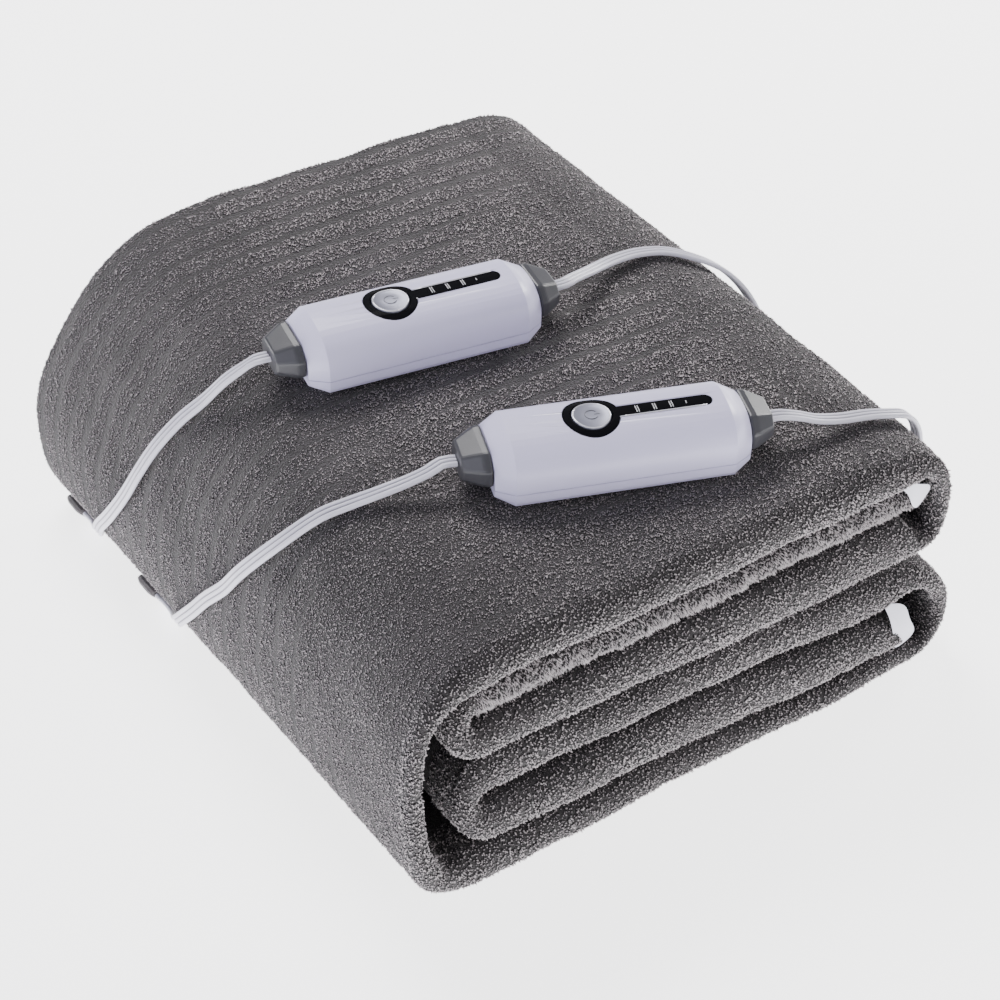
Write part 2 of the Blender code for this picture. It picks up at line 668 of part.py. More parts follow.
LABEL_WHITE = material("white_label", (0.85, 0.85, 0.9), 0.6)
LEAD_WHITE = material("white_lead", (0.83, 0.83, 0.88), 0.45)
BLADE_METAL = material("plug_blades", (0.7, 0.65, 0.5), 0.3, 1.0)
PLUSH = material("grey_plush", (0.15, 0.14, 0.145), 0.95)
SHELL_WHITE = material("white_shell", (0.82, 0.81, 0.88), 0.35)
SLEEVE_GREY = material("grey_sleeve", (0.22, 0.23, 0.24), 0.55)
WINDOW_BLACK = material("black_window", (0.01, 0.01, 0.012), 0.12)
BUTTON_SILVER = material("silver_button", (0.55, 0.56, 0.6), 0.35, 0.6)
make_pad()
for name, at in CONTROLLERS.items():
    make_controller(name, at)
for name, label in LABELS.items():
    wide, tall = label["size"]
    box(name, label["centre"], (wide, LABEL_THICKNESS, tall), label["turn"], LABEL_WHITE)
for name, route in PAD_LEADS.items():
    make_lead(f"{name}_pad_lead", leave_sleeve(name, -1, route))
    make_gland(f"{name}_gland", GLANDS[name])
for name, route in MAINS_LEADS.items():
    make_lead(f"{name}_mains_lead", leave_sleeve(name, 1, route))
    hank = HANKS[name]
    make_hank(f"{name}_hank", hank)
    make_lead(f"{name}_tail", [(hank[0] + x, hank[1] + y, z, lean) for x, y, z, lean in TAIL], TAIL_STEP)
    make_plug(name, hank)
for made in PARTS.objects:
    if made.parent is None:
        made.location -= Vector((*ORIGIN, 0.0)) * MM
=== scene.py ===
import math

import bmesh
import bpy
import numpy as np
from mathutils import Matrix, Vector


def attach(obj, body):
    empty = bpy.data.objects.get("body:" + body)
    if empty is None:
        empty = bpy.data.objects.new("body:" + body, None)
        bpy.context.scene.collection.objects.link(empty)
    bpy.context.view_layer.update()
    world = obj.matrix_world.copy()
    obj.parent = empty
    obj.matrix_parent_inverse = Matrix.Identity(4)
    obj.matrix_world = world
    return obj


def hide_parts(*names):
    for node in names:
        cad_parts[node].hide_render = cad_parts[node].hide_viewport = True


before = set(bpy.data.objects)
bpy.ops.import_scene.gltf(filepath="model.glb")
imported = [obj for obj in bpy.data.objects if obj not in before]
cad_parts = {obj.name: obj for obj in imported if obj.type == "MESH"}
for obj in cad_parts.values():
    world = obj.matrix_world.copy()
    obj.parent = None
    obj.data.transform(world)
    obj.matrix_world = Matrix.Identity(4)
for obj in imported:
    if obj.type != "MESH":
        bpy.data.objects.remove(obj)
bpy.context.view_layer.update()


# The folded pad lies on a pale table top under four round soft lamps: a broad one overhead, a
# cool one at the left, and two fainter warm ones at the near side and the right. The camera
# looks down on the pad's near left corner.
LOOK_AT = Vector((-0.0014, -0.0142, 0.0549))
CAMERA_TURN = math.radians(-34.54)
CAMERA_RISE = math.radians(39.26)
CAMERA_ROLL = math.radians(0.4)
CAMERA_AWAY = 0.9795
LENS = 79.2
CLIP_START = 0.02
TABLE_DROP = 0.0004  # the table top lies this far under the floor


def add_object(name, data):
    piece = bpy.data.objects.new(name, data)
    bpy.context.scene.collection.objects.link(piece)
    return piece


def new_finish(name, look):
    """A new material, its node tree and its shader's inputs, set as look says."""
    finish = bpy.data.materials.new(name)
    finish.use_nodes = True
    inputs = finish.node_tree.nodes["Principled BSDF"].inputs
    for socket, value in look.items():
        inputs[socket].default_value = value
    return finish, finish.node_tree, inputs


back = Vector((
    math.sin(CAMERA_TURN) * math.cos(CAMERA_RISE),
    -math.cos(CAMERA_TURN) * math.cos(CAMERA_RISE),
    math.sin(CAMERA_RISE),
))
right = Vector((0.0, 0.0, 1.0)).cross(back).normalized()
up = back.cross(right)
right, up = (
    right * math.cos(CAMERA_ROLL) + up * math.sin(CAMERA_ROLL),
    up * math.cos(CAMERA_ROLL) - right * math.sin(CAMERA_ROLL),
)
camera_data = bpy.data.cameras.new("camera")
camera_data.lens = LENS
camera_data.clip_start = CLIP_START
camera = add_object("camera", camera_data)
facing = Matrix((right, up, back)).transposed().to_4x4()
camera.matrix_world = Matrix.Translation(LOOK_AT + back * CAMERA_AWAY) @ facing
bpy.context.scene.camera = camera


def soft_lamp(name, place, size, power, tint):
    lamp_data = bpy.data.lights.new(name, "AREA")
    lamp_data.shape = "DISK"
    lamp_data.size = size
    lamp_data.energy = power
    lamp_data.color = tint
    lamp = add_object(name, lamp_data)
    lamp.location = place
    lamp.rotation_euler = (LOOK_AT - Vector(place)).to_track_quat("-Z", "Y").to_euler()


soft_lamp("overhead_lamp", (0.1, 0.75, 1.25), 0.7, 21.0, (1.0, 0.985, 0.985))
soft_lamp("left_lamp", (-1.4, -0.3, 0.7), 0.8, 6.0, (0.84, 0.84, 1.0))
soft_lamp("near_lamp", (0.5, -1.35, 0.55), 0.5, 4.5, (1.0, 0.98, 0.95))
soft_lamp("right_lamp", (1.2, 0.25, 0.5), 0.4, 9.0, (1.0, 0.99, 0.97))
studio = bpy.data.worlds.new("studio")
studio.use_nodes = True
sky_inputs = studio.node_tree.nodes["Background"].inputs
sky_inputs["Color"].default_value = (0.93, 0.94, 1.0, 1.0)
sky_inputs["Strength"].default_value = 0.38
bpy.context.scene.world = studio

table_mesh = bpy.data.meshes.new("table_top")
table_mesh.from_pydata([(-4, -4, 0), (4, -4, 0), (4, 4, 0), (-4, 4, 0)], [], [(0, 1, 2, 3)])
table_top = add_object("table_top", table_mesh)
table_top.location.z = -TABLE_DROP
paper = new_finish("table_paper", {
    "Base Color": (0.9, 0.9, 0.91, 1.0), "Roughness": 0.9,
    "Emission Color": (1.0, 1.0, 1.0, 1.0), "Emission Strength": 3.0,
})
table_mesh.materials.append(paper[0])


# The heated cloth is two plies of short grey plush with the heating wires between them. It is
# folded to and fro into six layers round three wide turns and two tight ones, and each layer
# shows one rolled edge at the near side and two ply ends at the back.
PAD_ORIGIN = np.array((142.8, 161.3, 0.0))  # mm, from the pad's left near corner
PAD_DEPTH = 325.0
LAYER_X = (40.0, 130.0, 240.0)
LAYER_RISE = (1.10, 1.11, 1.085)
LAYERS = {  # low and high face at each LAYER_X, then the near edge's inset and the back edge's reach
    "top": ((109.5, 107.5, 108.0), (127.0, 128.0, 127.5), 0.0, 320.0),
    "second": ((91.0, 91.5, 91.0), (108.5, 106.5, 107.0), 5.0, 315.0),
    "third": ((71.5, 67.5, 64.0), (90.0, 90.5, 90.0), 1.0, 322.0),
    "fourth": ((47.5, 45.0, 37.0), (70.0, 66.0, 62.0), 3.5, 317.0),
    "fifth": ((23.0, 19.0, 14.0), (44.5, 44.0, 36.0), 1.0, 321.0),
    "bottom": ((0.0, 0.0, 0.0), (22.0, 18.0, 13.0), 1.5, 320.0),
}
SECOND_END_X = 248.5
FIFTH_END_X = 252.5
SECOND_SLANT = 0.75
FIFTH_SLANT = 0.4
SLANT_REACH = 40.0
UPPER_LOOP = (  # x and z of each wide turn's outer face
    (232, 64.2), (248, 65), (261, 68), (269, 76), (272, 91), (269, 107), (260, 120), (245, 126.5),
    (226, 127.6),
)
LOWER_LOOP = (
    (232, 0), (254, 0), (269, 2), (279, 9.5), (284, 22), (281, 37), (272, 50), (260, 58.5),
    (247, 61.5), (230, 62.1),
)
WRAP_NEAR = (
    (58, 127.3), (40, 126.6), (22, 121), (9, 110), (1.5, 93), (0, 72), (1.5, 48), (4, 28), (9, 12),
    (19, 3), (33, 0), (46, 0),
)
WRAP_BACK = (
    (96, 141.3), (78, 141), (60, 138), (39, 126), (18, 107), (4, 85), (-4, 62), (-5, 40), (-2, 22),
    (7, 7), (23, 0), (40, 0),
)
LAYER_STATIONS = 46
SECOND_STATIONS = 50
TOP_STATIONS = 84
FOLD_STATIONS = 22
LOOP_STATIONS = 54
WRAP_STATIONS = 110
LOOP_THICKNESS = 10.0
WRAP_THICKNESS = 10.5
LOOP_SWELL = 7.0
SWELL_OVER = 16.0
UPPER_FOLD = (37.0, 52.0, 17.0, 4.0)  # near and back centre, outer reach, crease
LOWER_FOLD = (45.0, 48.0, 21.0, 8.0)
ROLL = 9.0
ROLL_SHARE = 0.55  # a near edge's roll is at most this much of its layer's thickness
NEAR_SHARE = 0.5  # how much of the back edge's wobble the near edge shares
NEAR_INSET = 0.5
PLY_PARTING = 0.03
PLY_STEP = 1.5  # the inner ply reaches this much further back than the outer
PARTING_ROOT = 34.0
PILE_SINK = 1.5  # the cloth's ground lies this far under the tips of its pile
TABLE_GAP = 0.1
CUT_ROWS = 14
CUT_END_BULGE = 2.4
CUT_END_PINCH = 0.72
FOLD_ROUNDNESS = 0.85
TURN_THINS = (0.1, 0.24)  # a wide turn thins from this share of its run, over this share
EDGE_WOBBLE = ((1.1, 23.0, 0.0), (0.7, 9.1, 1.0))  # reach, run for one radian, and phase
OUTER_ROWS = ((10.0, 40.0, 8), (45.0, 312.0, 52))  # first y, last y and count
INNER_ROWS = ((10.0, 46.0, 8), (70.0, 290.0, 6), (306.0, 312.0, 2))
NOSE_ROWS = 14
PARTING_ROWS = 3
SLOW_SWELLS = ((3, (60.0, 150.0), 0.7), (4, (24.0, 48.0), 0.35))  # seed, wave lengths, height
SWELL_GAIN = 1.3
SWELL_LIMITS = (-1.3, 0.2)
INNER_SWELL_GAIN = 0.4
LINE_SHIFT = 1.6
WAVE_GAIN = 1.6
WIRE_SHOWS = 0.62  # the mean share of the wires' lines that shows
WIRE_PATCHES = 0.55
WIRE_TO_BACK = 0.9


def distances(points):
    """How far along a line each of its points is."""
    return np.concatenate([[0.0], np.cumsum(np.linalg.norm(np.diff(points, axis=0), axis=1))])


def mixed(first, second, share):
    return first * (1 - share) + second * share


def smooth_line(points, count):
    """count points at even spacing along a smooth curve through the given points."""
    points = np.asarray(points, float)
    gaps = np.linalg.norm(np.diff(points, axis=0), axis=1)
    knots = np.concatenate([[0.0], np.cumsum(gaps)])
    slopes = np.empty_like(points)
    slopes[1:-1] = (points[2:] - points[:-2]) / (knots[2:] - knots[:-2])[:, None]
    slopes[0] = (points[1] - points[0]) / gaps[0]
    slopes[-1] = (points[-1] - points[-2]) / gaps[-1]

    def at(where):
        i = np.clip(np.searchsorted(knots, where, "right") - 1, 0, len(gaps) - 1)
        h = gaps[i][:, None]
        t = ((where - knots[i]) / gaps[i])[:, None]
        return (
            (2 * t**3 - 3 * t**2 + 1) * points[i]
            + (t**3 - 2 * t**2 + t) * h * slopes[i]
            + (3 * t**2 - 2 * t**3) * points[i + 1]
            + (t**3 - t**2) * h * slopes[i + 1]
        )

    fine = at(np.linspace(0.0, knots[-1], 30 * len(points)))
    run = distances(fine)
    return at(np.interp(np.linspace(0.0, run[-1], count), run, np.linspace(0.0, knots[-1], len(fine))))


def face_height(values, x, back_share):
    """Height of a layer's face at x, on a curve through its values at LAYER_X."""
    values = np.array(values) * (1.0 + back_share * (np.array(LAYER_RISE) - 1.0))
    x = np.asarray(x, float)
    total = np.zeros_like(x)
    for i, xi in enumerate(LAYER_X):
        term = np.full_like(x, values[i])
        for j, xj in enumerate(LAYER_X):
            if j != i:
                term = term * (x - xj) / (xi - xj)
        total += term
    return total


def flat_run(layer, start, end, back_share, count):
    """Outer and inner face of one layer between two x."""
    x = np.linspace(start, end, count)
    low, high = (np.column_stack([x, face_height(face, x, back_share)]) for face in LAYERS[layer][:2])
    return (high, low) if end < start else (low, high)


def tight_fold(upper, lower, fold, back_share, count):
    """Outer and inner face of a tight turn from one layer down to the next."""
    centre = mixed(*fold[:2], back_share)
    faces = []
    for reach, top, low in (
        (fold[2], LAYERS[upper][1], LAYERS[lower][0]),
        (fold[3], LAYERS[upper][0], LAYERS[lower][1]),
    ):
        top, low = (face_height(face, [centre], back_share)[0] for face in (top, low))
        turn = np.linspace(0.0, math.pi, count + 2)[1:-1]
        faces.append(np.column_stack([
            centre - reach * np.sin(turn) ** FOLD_ROUNDNESS,
            (top + low) / 2 + (top - low) / 2 * np.cos(turn),
        ]))
    return faces


def wide_turn(outline, first, last, middle, back_share, rise, count):
    """Outer and inner face of a wide turn, as thick as its two layers at the ends."""
    entry, leaving = (
        float(np.diff([face_height(face, [x], back_share)[0] for face in LAYERS[layer][:2]])[0])
        for layer, x in ((first, outline[0][0]), (last, outline[-1][0]))
    )
    outer = smooth_line(outline, count + 2)
    outer[:, 1] *= rise
    along = np.gradient(outer, axis=0)
    along /= np.linalg.norm(along, axis=1)[:, None]
    share = np.linspace(0.0, 1.0, count + 2)
    thin = np.clip((np.minimum(share, 1 - share) - TURN_THINS[0]) / TURN_THINS[1], 0.0, 1.0)
    thin = thin**2 * (3 - 2 * thin)
    thick = (entry + (leaving - entry) * share) * (1 - thin) + middle * thin
    inner = outer + np.column_stack([-along[:, 1], along[:, 0]]) * thick[:, None]
    return outer[1:-1], inner[1:-1]


def fold_section(back_share):
    """Outer and inner face of the folded cloth from the second layer's cut end to the fifth's,
    and the name of the layer or turn each point belongs to."""
    rise = 1.0 + back_share * (LAYER_RISE[2] - 1.0)
    upper_x, lower_x = (mixed(*fold[:2], back_share) for fold in (UPPER_FOLD, LOWER_FOLD))
    wrap = mixed(np.array(WRAP_NEAR), np.array(WRAP_BACK), back_share)
    loop_shape = (LOOP_THICKNESS, back_share, rise, LOOP_STATIONS)
    wrap_shape = (WRAP_THICKNESS, back_share, 1.0, WRAP_STATIONS)
    layer_shape = (back_share, LAYER_STATIONS)
    fold_shape = (back_share, FOLD_STATIONS)
    steps = (
        ("second", flat_run("second", SECOND_END_X, upper_x, back_share, SECOND_STATIONS)),
        ("upper_fold", tight_fold("second", "third", UPPER_FOLD, *fold_shape)),
        ("third", flat_run("third", upper_x, UPPER_LOOP[0][0], *layer_shape)),
        ("upper_loop", wide_turn(UPPER_LOOP, "third", "top", *loop_shape)),
        ("top", flat_run("top", UPPER_LOOP[-1][0], wrap[0][0], back_share, TOP_STATIONS)),
        ("wrap", wide_turn(wrap, "top", "bottom", *wrap_shape)),
        ("bottom", flat_run("bottom", wrap[-1][0], LOWER_LOOP[0][0], *layer_shape)),
        ("lower_loop", wide_turn(LOWER_LOOP, "bottom", "fourth", *loop_shape)),
        ("fourth", flat_run("fourth", LOWER_LOOP[-1][0], lower_x, *layer_shape)),
        ("lower_fold", tight_fold("fourth", "fifth", LOWER_FOLD, *fold_shape)),
        ("fifth", flat_run("fifth", lower_x, FIFTH_END_X, *layer_shape)),
    )
    faces = [np.concatenate([pair[side] for _, pair in steps]) for side in (0, 1)]
    return *faces, [name for name, pair in steps for _ in pair[0]]


def waves(seed, points, lengths, count=7):
    """Smooth noise from -1 to 1: a seeded sum of plane waves over the given wave lengths."""
    dice = np.random.default_rng(seed)
    total = np.zeros(points.shape[:-1])
    for _ in range(count):
        turn, phase = dice.uniform(0.0, 2 * math.pi, 2)
        length = dice.uniform(*lengths)
        way = points[..., 0] * math.cos(turn) + points[..., 1] * math.sin(turn)
        total += np.sin(way * 2 * math.pi / length + phase)
    return total / count * WAVE_GAIN


near_outer, near_inner, layer_names = fold_section(0.0)
back_outer, back_inner, _ = fold_section(1.0)
stations = len(layer_names)
run_along = distances(near_outer)
flat_rows = [i for i, name in enumerate(layer_names) if name in LAYERS]
near_inset, back_reach = (
    np.interp(np.arange(stations), flat_rows, [LAYERS[layer_names[i]][column] for i in flat_rows])
    for column in (2, 3)
)
swell = np.zeros(stations)
for loop in ("upper_loop", "lower_loop"):
    rows = [i for i, name in enumerate(layer_names) if name == loop]
    swell[rows] = LOOP_SWELL * np.sin(np.linspace(0.0, math.pi, len(rows)))
near_thick = np.linalg.norm(near_outer - near_inner, axis=1)

# each station's ring runs round the hem: the share from the outer to the inner face, and y
outer_y = np.concatenate([np.linspace(*rows) for rows in OUTER_ROWS])
inner_y = np.concatenate([np.linspace(*rows) for rows in INNER_ROWS])[::-1]
nose_turn = np.linspace(0.0, math.pi, NOSE_ROWS + 2)[1:-1]
ply = (
    (0.02, 3.0), (0.06, 1.2), (0.12, 0.3), (0.2, 0.0), (0.3, 0.0), (0.38, 0.3), (0.44, 1.4),
    (0.5 - PLY_PARTING, 3.6),
)
rings = []
for i in range(stations):
    wobble = sum(far * math.sin(run_along[i] / run + phase) for far, run, phase in EDGE_WOBBLE)
    inset, reach = near_inset[i] + NEAR_INSET + wobble * NEAR_SHARE, back_reach[i] + wobble
    roll = min(ROLL, ROLL_SHARE * near_thick[i])
    ring = [(0.0, y) for y in outer_y]
    ring += [(u, reach - y) for u, y in ply]
    ring += [(0.5 - PLY_PARTING, 0.5 * PAD_DEPTH), (0.5, PARTING_ROOT)]
    ring += [(0.5 + PLY_PARTING, 0.5 * PAD_DEPTH)]
    ring += [(1 - u, reach - y + PLY_STEP) for u, y in ply[::-1]]
    ring += [(1.0, y) for y in inner_y]
    ring += [(0.5 + 0.5 * math.cos(turn), inset + roll * (1 - math.sin(turn))) for turn in nose_turn]
    rings.append(ring)
kinds = np.array(
    ["outer"] * len(outer_y) + ["hem"] * len(ply) + ["hidden"] * PARTING_ROWS
    + ["hem"] * len(ply) + ["inner"] * len(inner_y) + ["nose"] * len(nose_turn)
)
across = np.array(rings)
u, y = across[..., 0], across[..., 1]
v = y / PAD_DEPTH
near_point = mixed(near_outer[:, None], near_inner[:, None], u[..., None])
back_point = mixed(back_outer[:, None], back_inner[:, None], u[..., None])
section_point = mixed(near_point, back_point, v[..., None])
cloth_points = np.stack([
    section_point[..., 0] + swell[:, None] * (1 - np.exp(-np.maximum(y, 0.0) / SWELL_OVER)),
    y,
    section_point[..., 1],
], axis=-1)

# the two cut ends are slanted, shorter above than below
for rows, distance, slant in (
    (slice(0, CUT_ROWS), run_along[:CUT_ROWS], SECOND_SLANT),
    (slice(-CUT_ROWS, None), run_along[-1] - run_along[-CUT_ROWS:], FIFTH_SLANT),
):
    share = np.clip(1.0 - distance / SLANT_REACH, 0.0, 1.0)[:, None]
    heights = cloth_points[rows, :, 2]
    cloth_points[rows, :, 0] -= slant * share * (heights - heights.mean())

# the soft relief of slow swells, and each point's place on the flat cloth with the share of the
# heating wires that shows there
along_step = np.gradient(cloth_points, axis=0)
across_step = np.roll(cloth_points, -1, axis=1) - np.roll(cloth_points, 1, axis=1)
outward = np.cross(across_step, along_step)
outward /= np.linalg.norm(outward, axis=-1)[..., None] + 1e-9
surface_map = np.stack([np.broadcast_to(run_along[:, None], y.shape), y], axis=-1)
slow = sum(waves(seed, surface_map, lengths) * height for seed, lengths, height in SLOW_SWELLS)
line_shift = waves(6, surface_map, (120.0, 260.0)) * LINE_SHIFT
wire_shows = WIRE_SHOWS + WIRE_PATCHES * waves(7, surface_map, (90.0, 220.0))
wire_shows = np.clip(wire_shows + WIRE_TO_BACK * (v - 0.5), 0.0, 1.0)
cloth_place = np.stack([
    surface_map[..., 0] / 1000.0,
    (surface_map[..., 1] + line_shift) / 1000.0,
    wire_shows,
], axis=-1)
outer_relief = np.clip(SWELL_GAIN * slow, *SWELL_LIMITS) - SWELL_LIMITS[1]
relief = np.where(kinds[None] == "outer", outer_relief, INNER_SWELL_GAIN * slow)
relief[:, kinds == "hidden"] = 0.0
cloth_points = cloth_points + outward * (relief - PILE_SINK)[..., None]
plain_points = np.stack([section_point[..., 0], y, section_point[..., 1]], axis=-1)
cloth_points[:, kinds == "hidden"] = plain_points[:, kinds == "hidden"]
cloth_points[..., 2] = np.maximum(cloth_points[..., 2], TABLE_GAP)
cloth_points = (cloth_points - PAD_ORIGIN) / 1000.0


def grid_quads(i, j, size):
    """The corners of the quads at ring i and place j, in rings of the given size."""
    k = (j + 1) % size
    return np.stack([i * size + j, i * size + k, (i + 1) * size + k, (i + 1) * size + j], axis=-1)


def grid_mesh(name, points):
    """A closed mesh from a grid of rings, its two end rings capped."""
    count, size = points.shape[:2]
    mesh = bpy.data.meshes.new(name)
    quads = grid_quads(*np.meshgrid(np.arange(count - 1), np.arange(size), indexing="ij"), size)
    mesh.from_pydata(points.reshape(-1, 3), [], quads.reshape(-1, 4).tolist())
    build = bmesh.new()
    build.from_mesh(mesh)
    build.verts.ensure_lookup_table()
    build.faces.new([build.verts[at] for at in range(size)])
    build.faces.new([build.verts[(count - 1) * size + at] for at in range(size)])
    bmesh.ops.recalc_face_normals(build, faces=build.faces)
    build.to_mesh(mesh)
    build.free()
    mesh.shade_smooth()
    return mesh


def cut_end(row):
    """One more ring past a cut end, bulged and pinched so that the end looks cut and soft."""
    end = row.copy()
    middle = row[:, 2].mean()
    end[:, 0] += CUT_END_BULGE / 1000.0
    end[:, 2] = middle + (end[:, 2] - middle) * CUT_END_PINCH
    return end


first_end, last_end = cut_end(cloth_points[0]), cut_end(cloth_points[-1])
cloth_points = np.concatenate([[first_end], cloth_points, [last_end]])
cloth_place = np.concatenate([[cloth_place[0]], cloth_place, [cloth_place[-1]]])
cloth = add_object("heated_cloth", grid_mesh("heated_cloth", cloth_points))
cloth_map = cloth.data.uv_layers.new(name="cloth_map")
layer_names = [layer_names[0], *layer_names, layer_names[-1]]
run_along = [run_along[0] - CUT_END_BULGE, *run_along, run_along[-1] + CUT_END_BULGE]
ring_y = np.concatenate([[y[0]], y, [y[-1]]])
ring_run = np.broadcast_to(np.array(run_along)[:, None], ring_y.shape)
vertex_map = np.stack([ring_run, ring_y], axis=-1).reshape(-1, 2) / 1000.0
corner_vertex = np.zeros(len(cloth.data.loops), np.int32)
cloth.data.loops.foreach_get("vertex_index", corner_vertex)
cloth_map.data.foreach_set("uv", vertex_map[corner_vertex].ravel())


# Its plush is a dense pile of short grey tufts, each darkened to near black at its root by painted
# shade and keeping its lighter tone at its tip. They lean this way and that where the cloth has been
# brushed, stand longer at the rolled near edges, and part in thin lines over the heating wires.
# painted shade: the tufts' roots are near black, where the pile shades itself
FIBRE_ROOT_SHADE = (0.010, 0.009, 0.010)
FIBRE_TIP_DARK = (0.36, 0.325, 0.34)
FIBRE_TIP_LIGHT = (0.8, 0.726, 0.752)
WIRE_SPACING = 0.014
WIRE_WANDER = 0.004
GROOVE_HALF_WIDTH = 0.0021
GROOVE_FALL = 0.4
BARE_FROM = 0.38  # the depth of groove at which no tuft stands
DRIFT_SCALE = 60.0
ROW_SCALE = 330.0
ROW_STRETCH = 0.3
ROW_SHADES = (0.36, 0.62, 0.6, 1.0)  # two levels of the rows' noise and the shades there
CLUMP_LEVELS = (0.37, 0.63)  # the levels of the clumps' noise from darkest to palest
CLUMP_SHORTEST = 0.45
CLUMP_LEAN = 3.0
BRUSHING_SCALE = 34.0
UNEVEN_LENGTHS = (0.6, 1.15)
TUFT_BEND = (0.12, 0.05)
COMBED_WAY = (0.0, -0.25, -1.0)
SHORTEST_SHARE = 0.3
ON_TABLE_SHARE = 1.1  # a tuft needs this much of its length between its root and the table
OUTER_ROLL_DEPTH = 24.0
INNER_ROLL_DEPTH = 30.0
HEM_SHOWN_PLACES = 5
HEM_OUTER_PLACES = 3
HEM_INNER_PLACES = 2
PILE_AMOUNTS = ("Lean", "Brushing", "Combing", "Tufts", "Wire Parting", "Paleness")
PILES = {  # number of tufts, length and width in mm, PILE_AMOUNTS, seed
    "pile_top": (50000, 1.5, 1.25, (0.35, 0.9, 0.0, 620.0, 1.0, 1.0), 11),
    "pile_wrap": (52000, 1.5, 1.3, (0.35, 0.9, 0.1, 600.0, 1.0, 0.8), 12),
    "pile_loops": (50000, 1.5, 1.4, (0.35, 0.7, 0.2, 560.0, 0.6, 0.9), 13),
    "pile_near_edges": (54000, 1.8, 1.5, (0.35, 0.8, 0.5, 520.0, 0.0, 1.0), 14),
    "pile_second_layer": (24000, 6.8, 1.25, (0.3, 0.6, 1.1, 300.0, 0.0, 0.5), 15),
    "pile_back_hems": (25000, 1.8, 1.5, (0.5, 0.9, 0.1, 560.0, 0.0, 0.9), 16),
}


def add_node(tree, kind, inputs, **settings):
    """The outputs of a new node; each input is a plain value or another node's output."""
    node = tree.nodes.new(kind)
    for name, value in settings.items():
        setattr(node, name, value)
    for name, value in inputs.items():
        if isinstance(value, bpy.types.NodeSocket):
            tree.links.new(value, node.inputs[name])
        else:
            node.inputs[name].default_value = value
    return node.outputs


def object_place(tree):
    return add_node(tree, "ShaderNodeTexCoord", {})["Object"]


def attribute_value(tree, name):
    return add_node(tree, "ShaderNodeAttribute", {}, attribute_name=name)["Fac"]


def noise_value(tree, coordinates, scale, detail=2.0, rough=0.5):
    inputs = {"Vector": coordinates, "Scale": scale, "Detail": detail, "Roughness": rough}
    return add_node(tree, "ShaderNodeTexNoise", inputs)["Fac"]


def spread_value(tree, value, low, high, to_low, to_high):
    inputs = {"From Min": low, "From Max": high, "To Min": to_low, "To Max": to_high}
    return add_node(tree, "ShaderNodeMapRange", {"Value": value, **inputs})["Result"]


def product(tree, first, second):
    return add_node(tree, "ShaderNodeMath", {0: first, 1: second}, operation="MULTIPLY")["Value"]


def blend_colour(tree, share, first, second):
    """The two colours mixed by a share; each is a plain colour or another node's output."""
    first, second = ((*part, 1.0) if isinstance(part, tuple) else part for part in (first, second))
    return add_node(tree, "ShaderNodeMix", {0: share, 6: first, 7: second}, data_type="RGBA")[2]


def add_bump(tree, height, depth_mm):
    bump = add_node(tree, "ShaderNodeBump", {"Distance": depth_mm / 1000.0, "Height": height})
    tree.links.new(bump["Normal"], tree.nodes["Principled BSDF"].inputs["Normal"])


def plush_material(name, dark, light, bump_mm):
    finish, tree, inputs = new_finish(name, {
        "Roughness": 0.95, "Specular IOR Level": 0.15, "Sheen Weight": 0.35, "Sheen Roughness": 0.5,
    })
    place = object_place(tree)
    grain = spread_value(tree, noise_value(tree, place, 900.0, 3.0, 0.7), 0.35, 0.65, 0.4, 1.0)
    brushed = spread_value(tree, noise_value(tree, place, 22.0, 3.0, 0.6), 0.3, 0.7, 0.0, 1.0)
    colour = blend_colour(tree, product(tree, grain, brushed), dark, light)
    tree.links.new(colour, inputs["Base Color"])
    add_bump(tree, grain, bump_mm)
    return finish


# painted shade: the cloth's ground under the pile is near black, standing in for the shade deep
# between the tufts; its grain and brushed patches are the plush's own
cloth.data.materials.append(
    plush_material("plush_ground_shade", (0.024, 0.0215, 0.0225), (0.088, 0.08, 0.083), 0.8)
)

fibre_finish, fibre_tree, fibre_inputs = new_finish("plush_fibre", {
    "Roughness": 0.85, "Specular IOR Level": 0.2, "Sheen Weight": 0.25,
})
brushed = noise_value(fibre_tree, object_place(fibre_tree), 17.0, 3.0)
brushed = spread_value(fibre_tree, brushed, 0.3, 0.7, 0.5, 1.0)
# the tufts' own tone with the painted groove shade in it, varied by brushed patches
tone = product(fibre_tree, attribute_value(fibre_tree, "tuft_tone"), brushed)
tip_colour = blend_colour(fibre_tree, tone, FIBRE_TIP_DARK, FIBRE_TIP_LIGHT)
# painted shade: each tuft blends from the near-black root shade at its foot to its tip colour
rise = spread_value(fibre_tree, attribute_value(fibre_tree, "fibre_rise"), 0.3, 0.75, 0.0, 1.0)
fibre_colour = blend_colour(fibre_tree, rise, FIBRE_ROOT_SHADE, tip_colour)
fibre_tree.links.new(fibre_colour, fibre_inputs["Base Color"])

# one tuft, a unit high: fibre_rise is its height, from 0 at the root to 1 at the tip
base_turns = np.radians((90.0, 210.0, 330.0))
tuft_corners = [(0.5 * math.cos(turn), 0.5 * math.sin(turn), 0.0) for turn in base_turns]
tuft_corners.append((*TUFT_BEND, 1.0))
tuft_mesh = bpy.data.meshes.new("pile_tuft")
tuft_mesh.from_pydata(tuft_corners, [], [(0, 1, 3), (1, 2, 3), (2, 0, 3)])
tuft_mesh.shade_smooth()
fibre_rise = tuft_mesh.attributes.new("fibre_rise", "FLOAT", "POINT")
fibre_rise.data.foreach_set("value", [corner[2] for corner in tuft_corners])
tuft = add_object("pile_tuft", tuft_mesh)


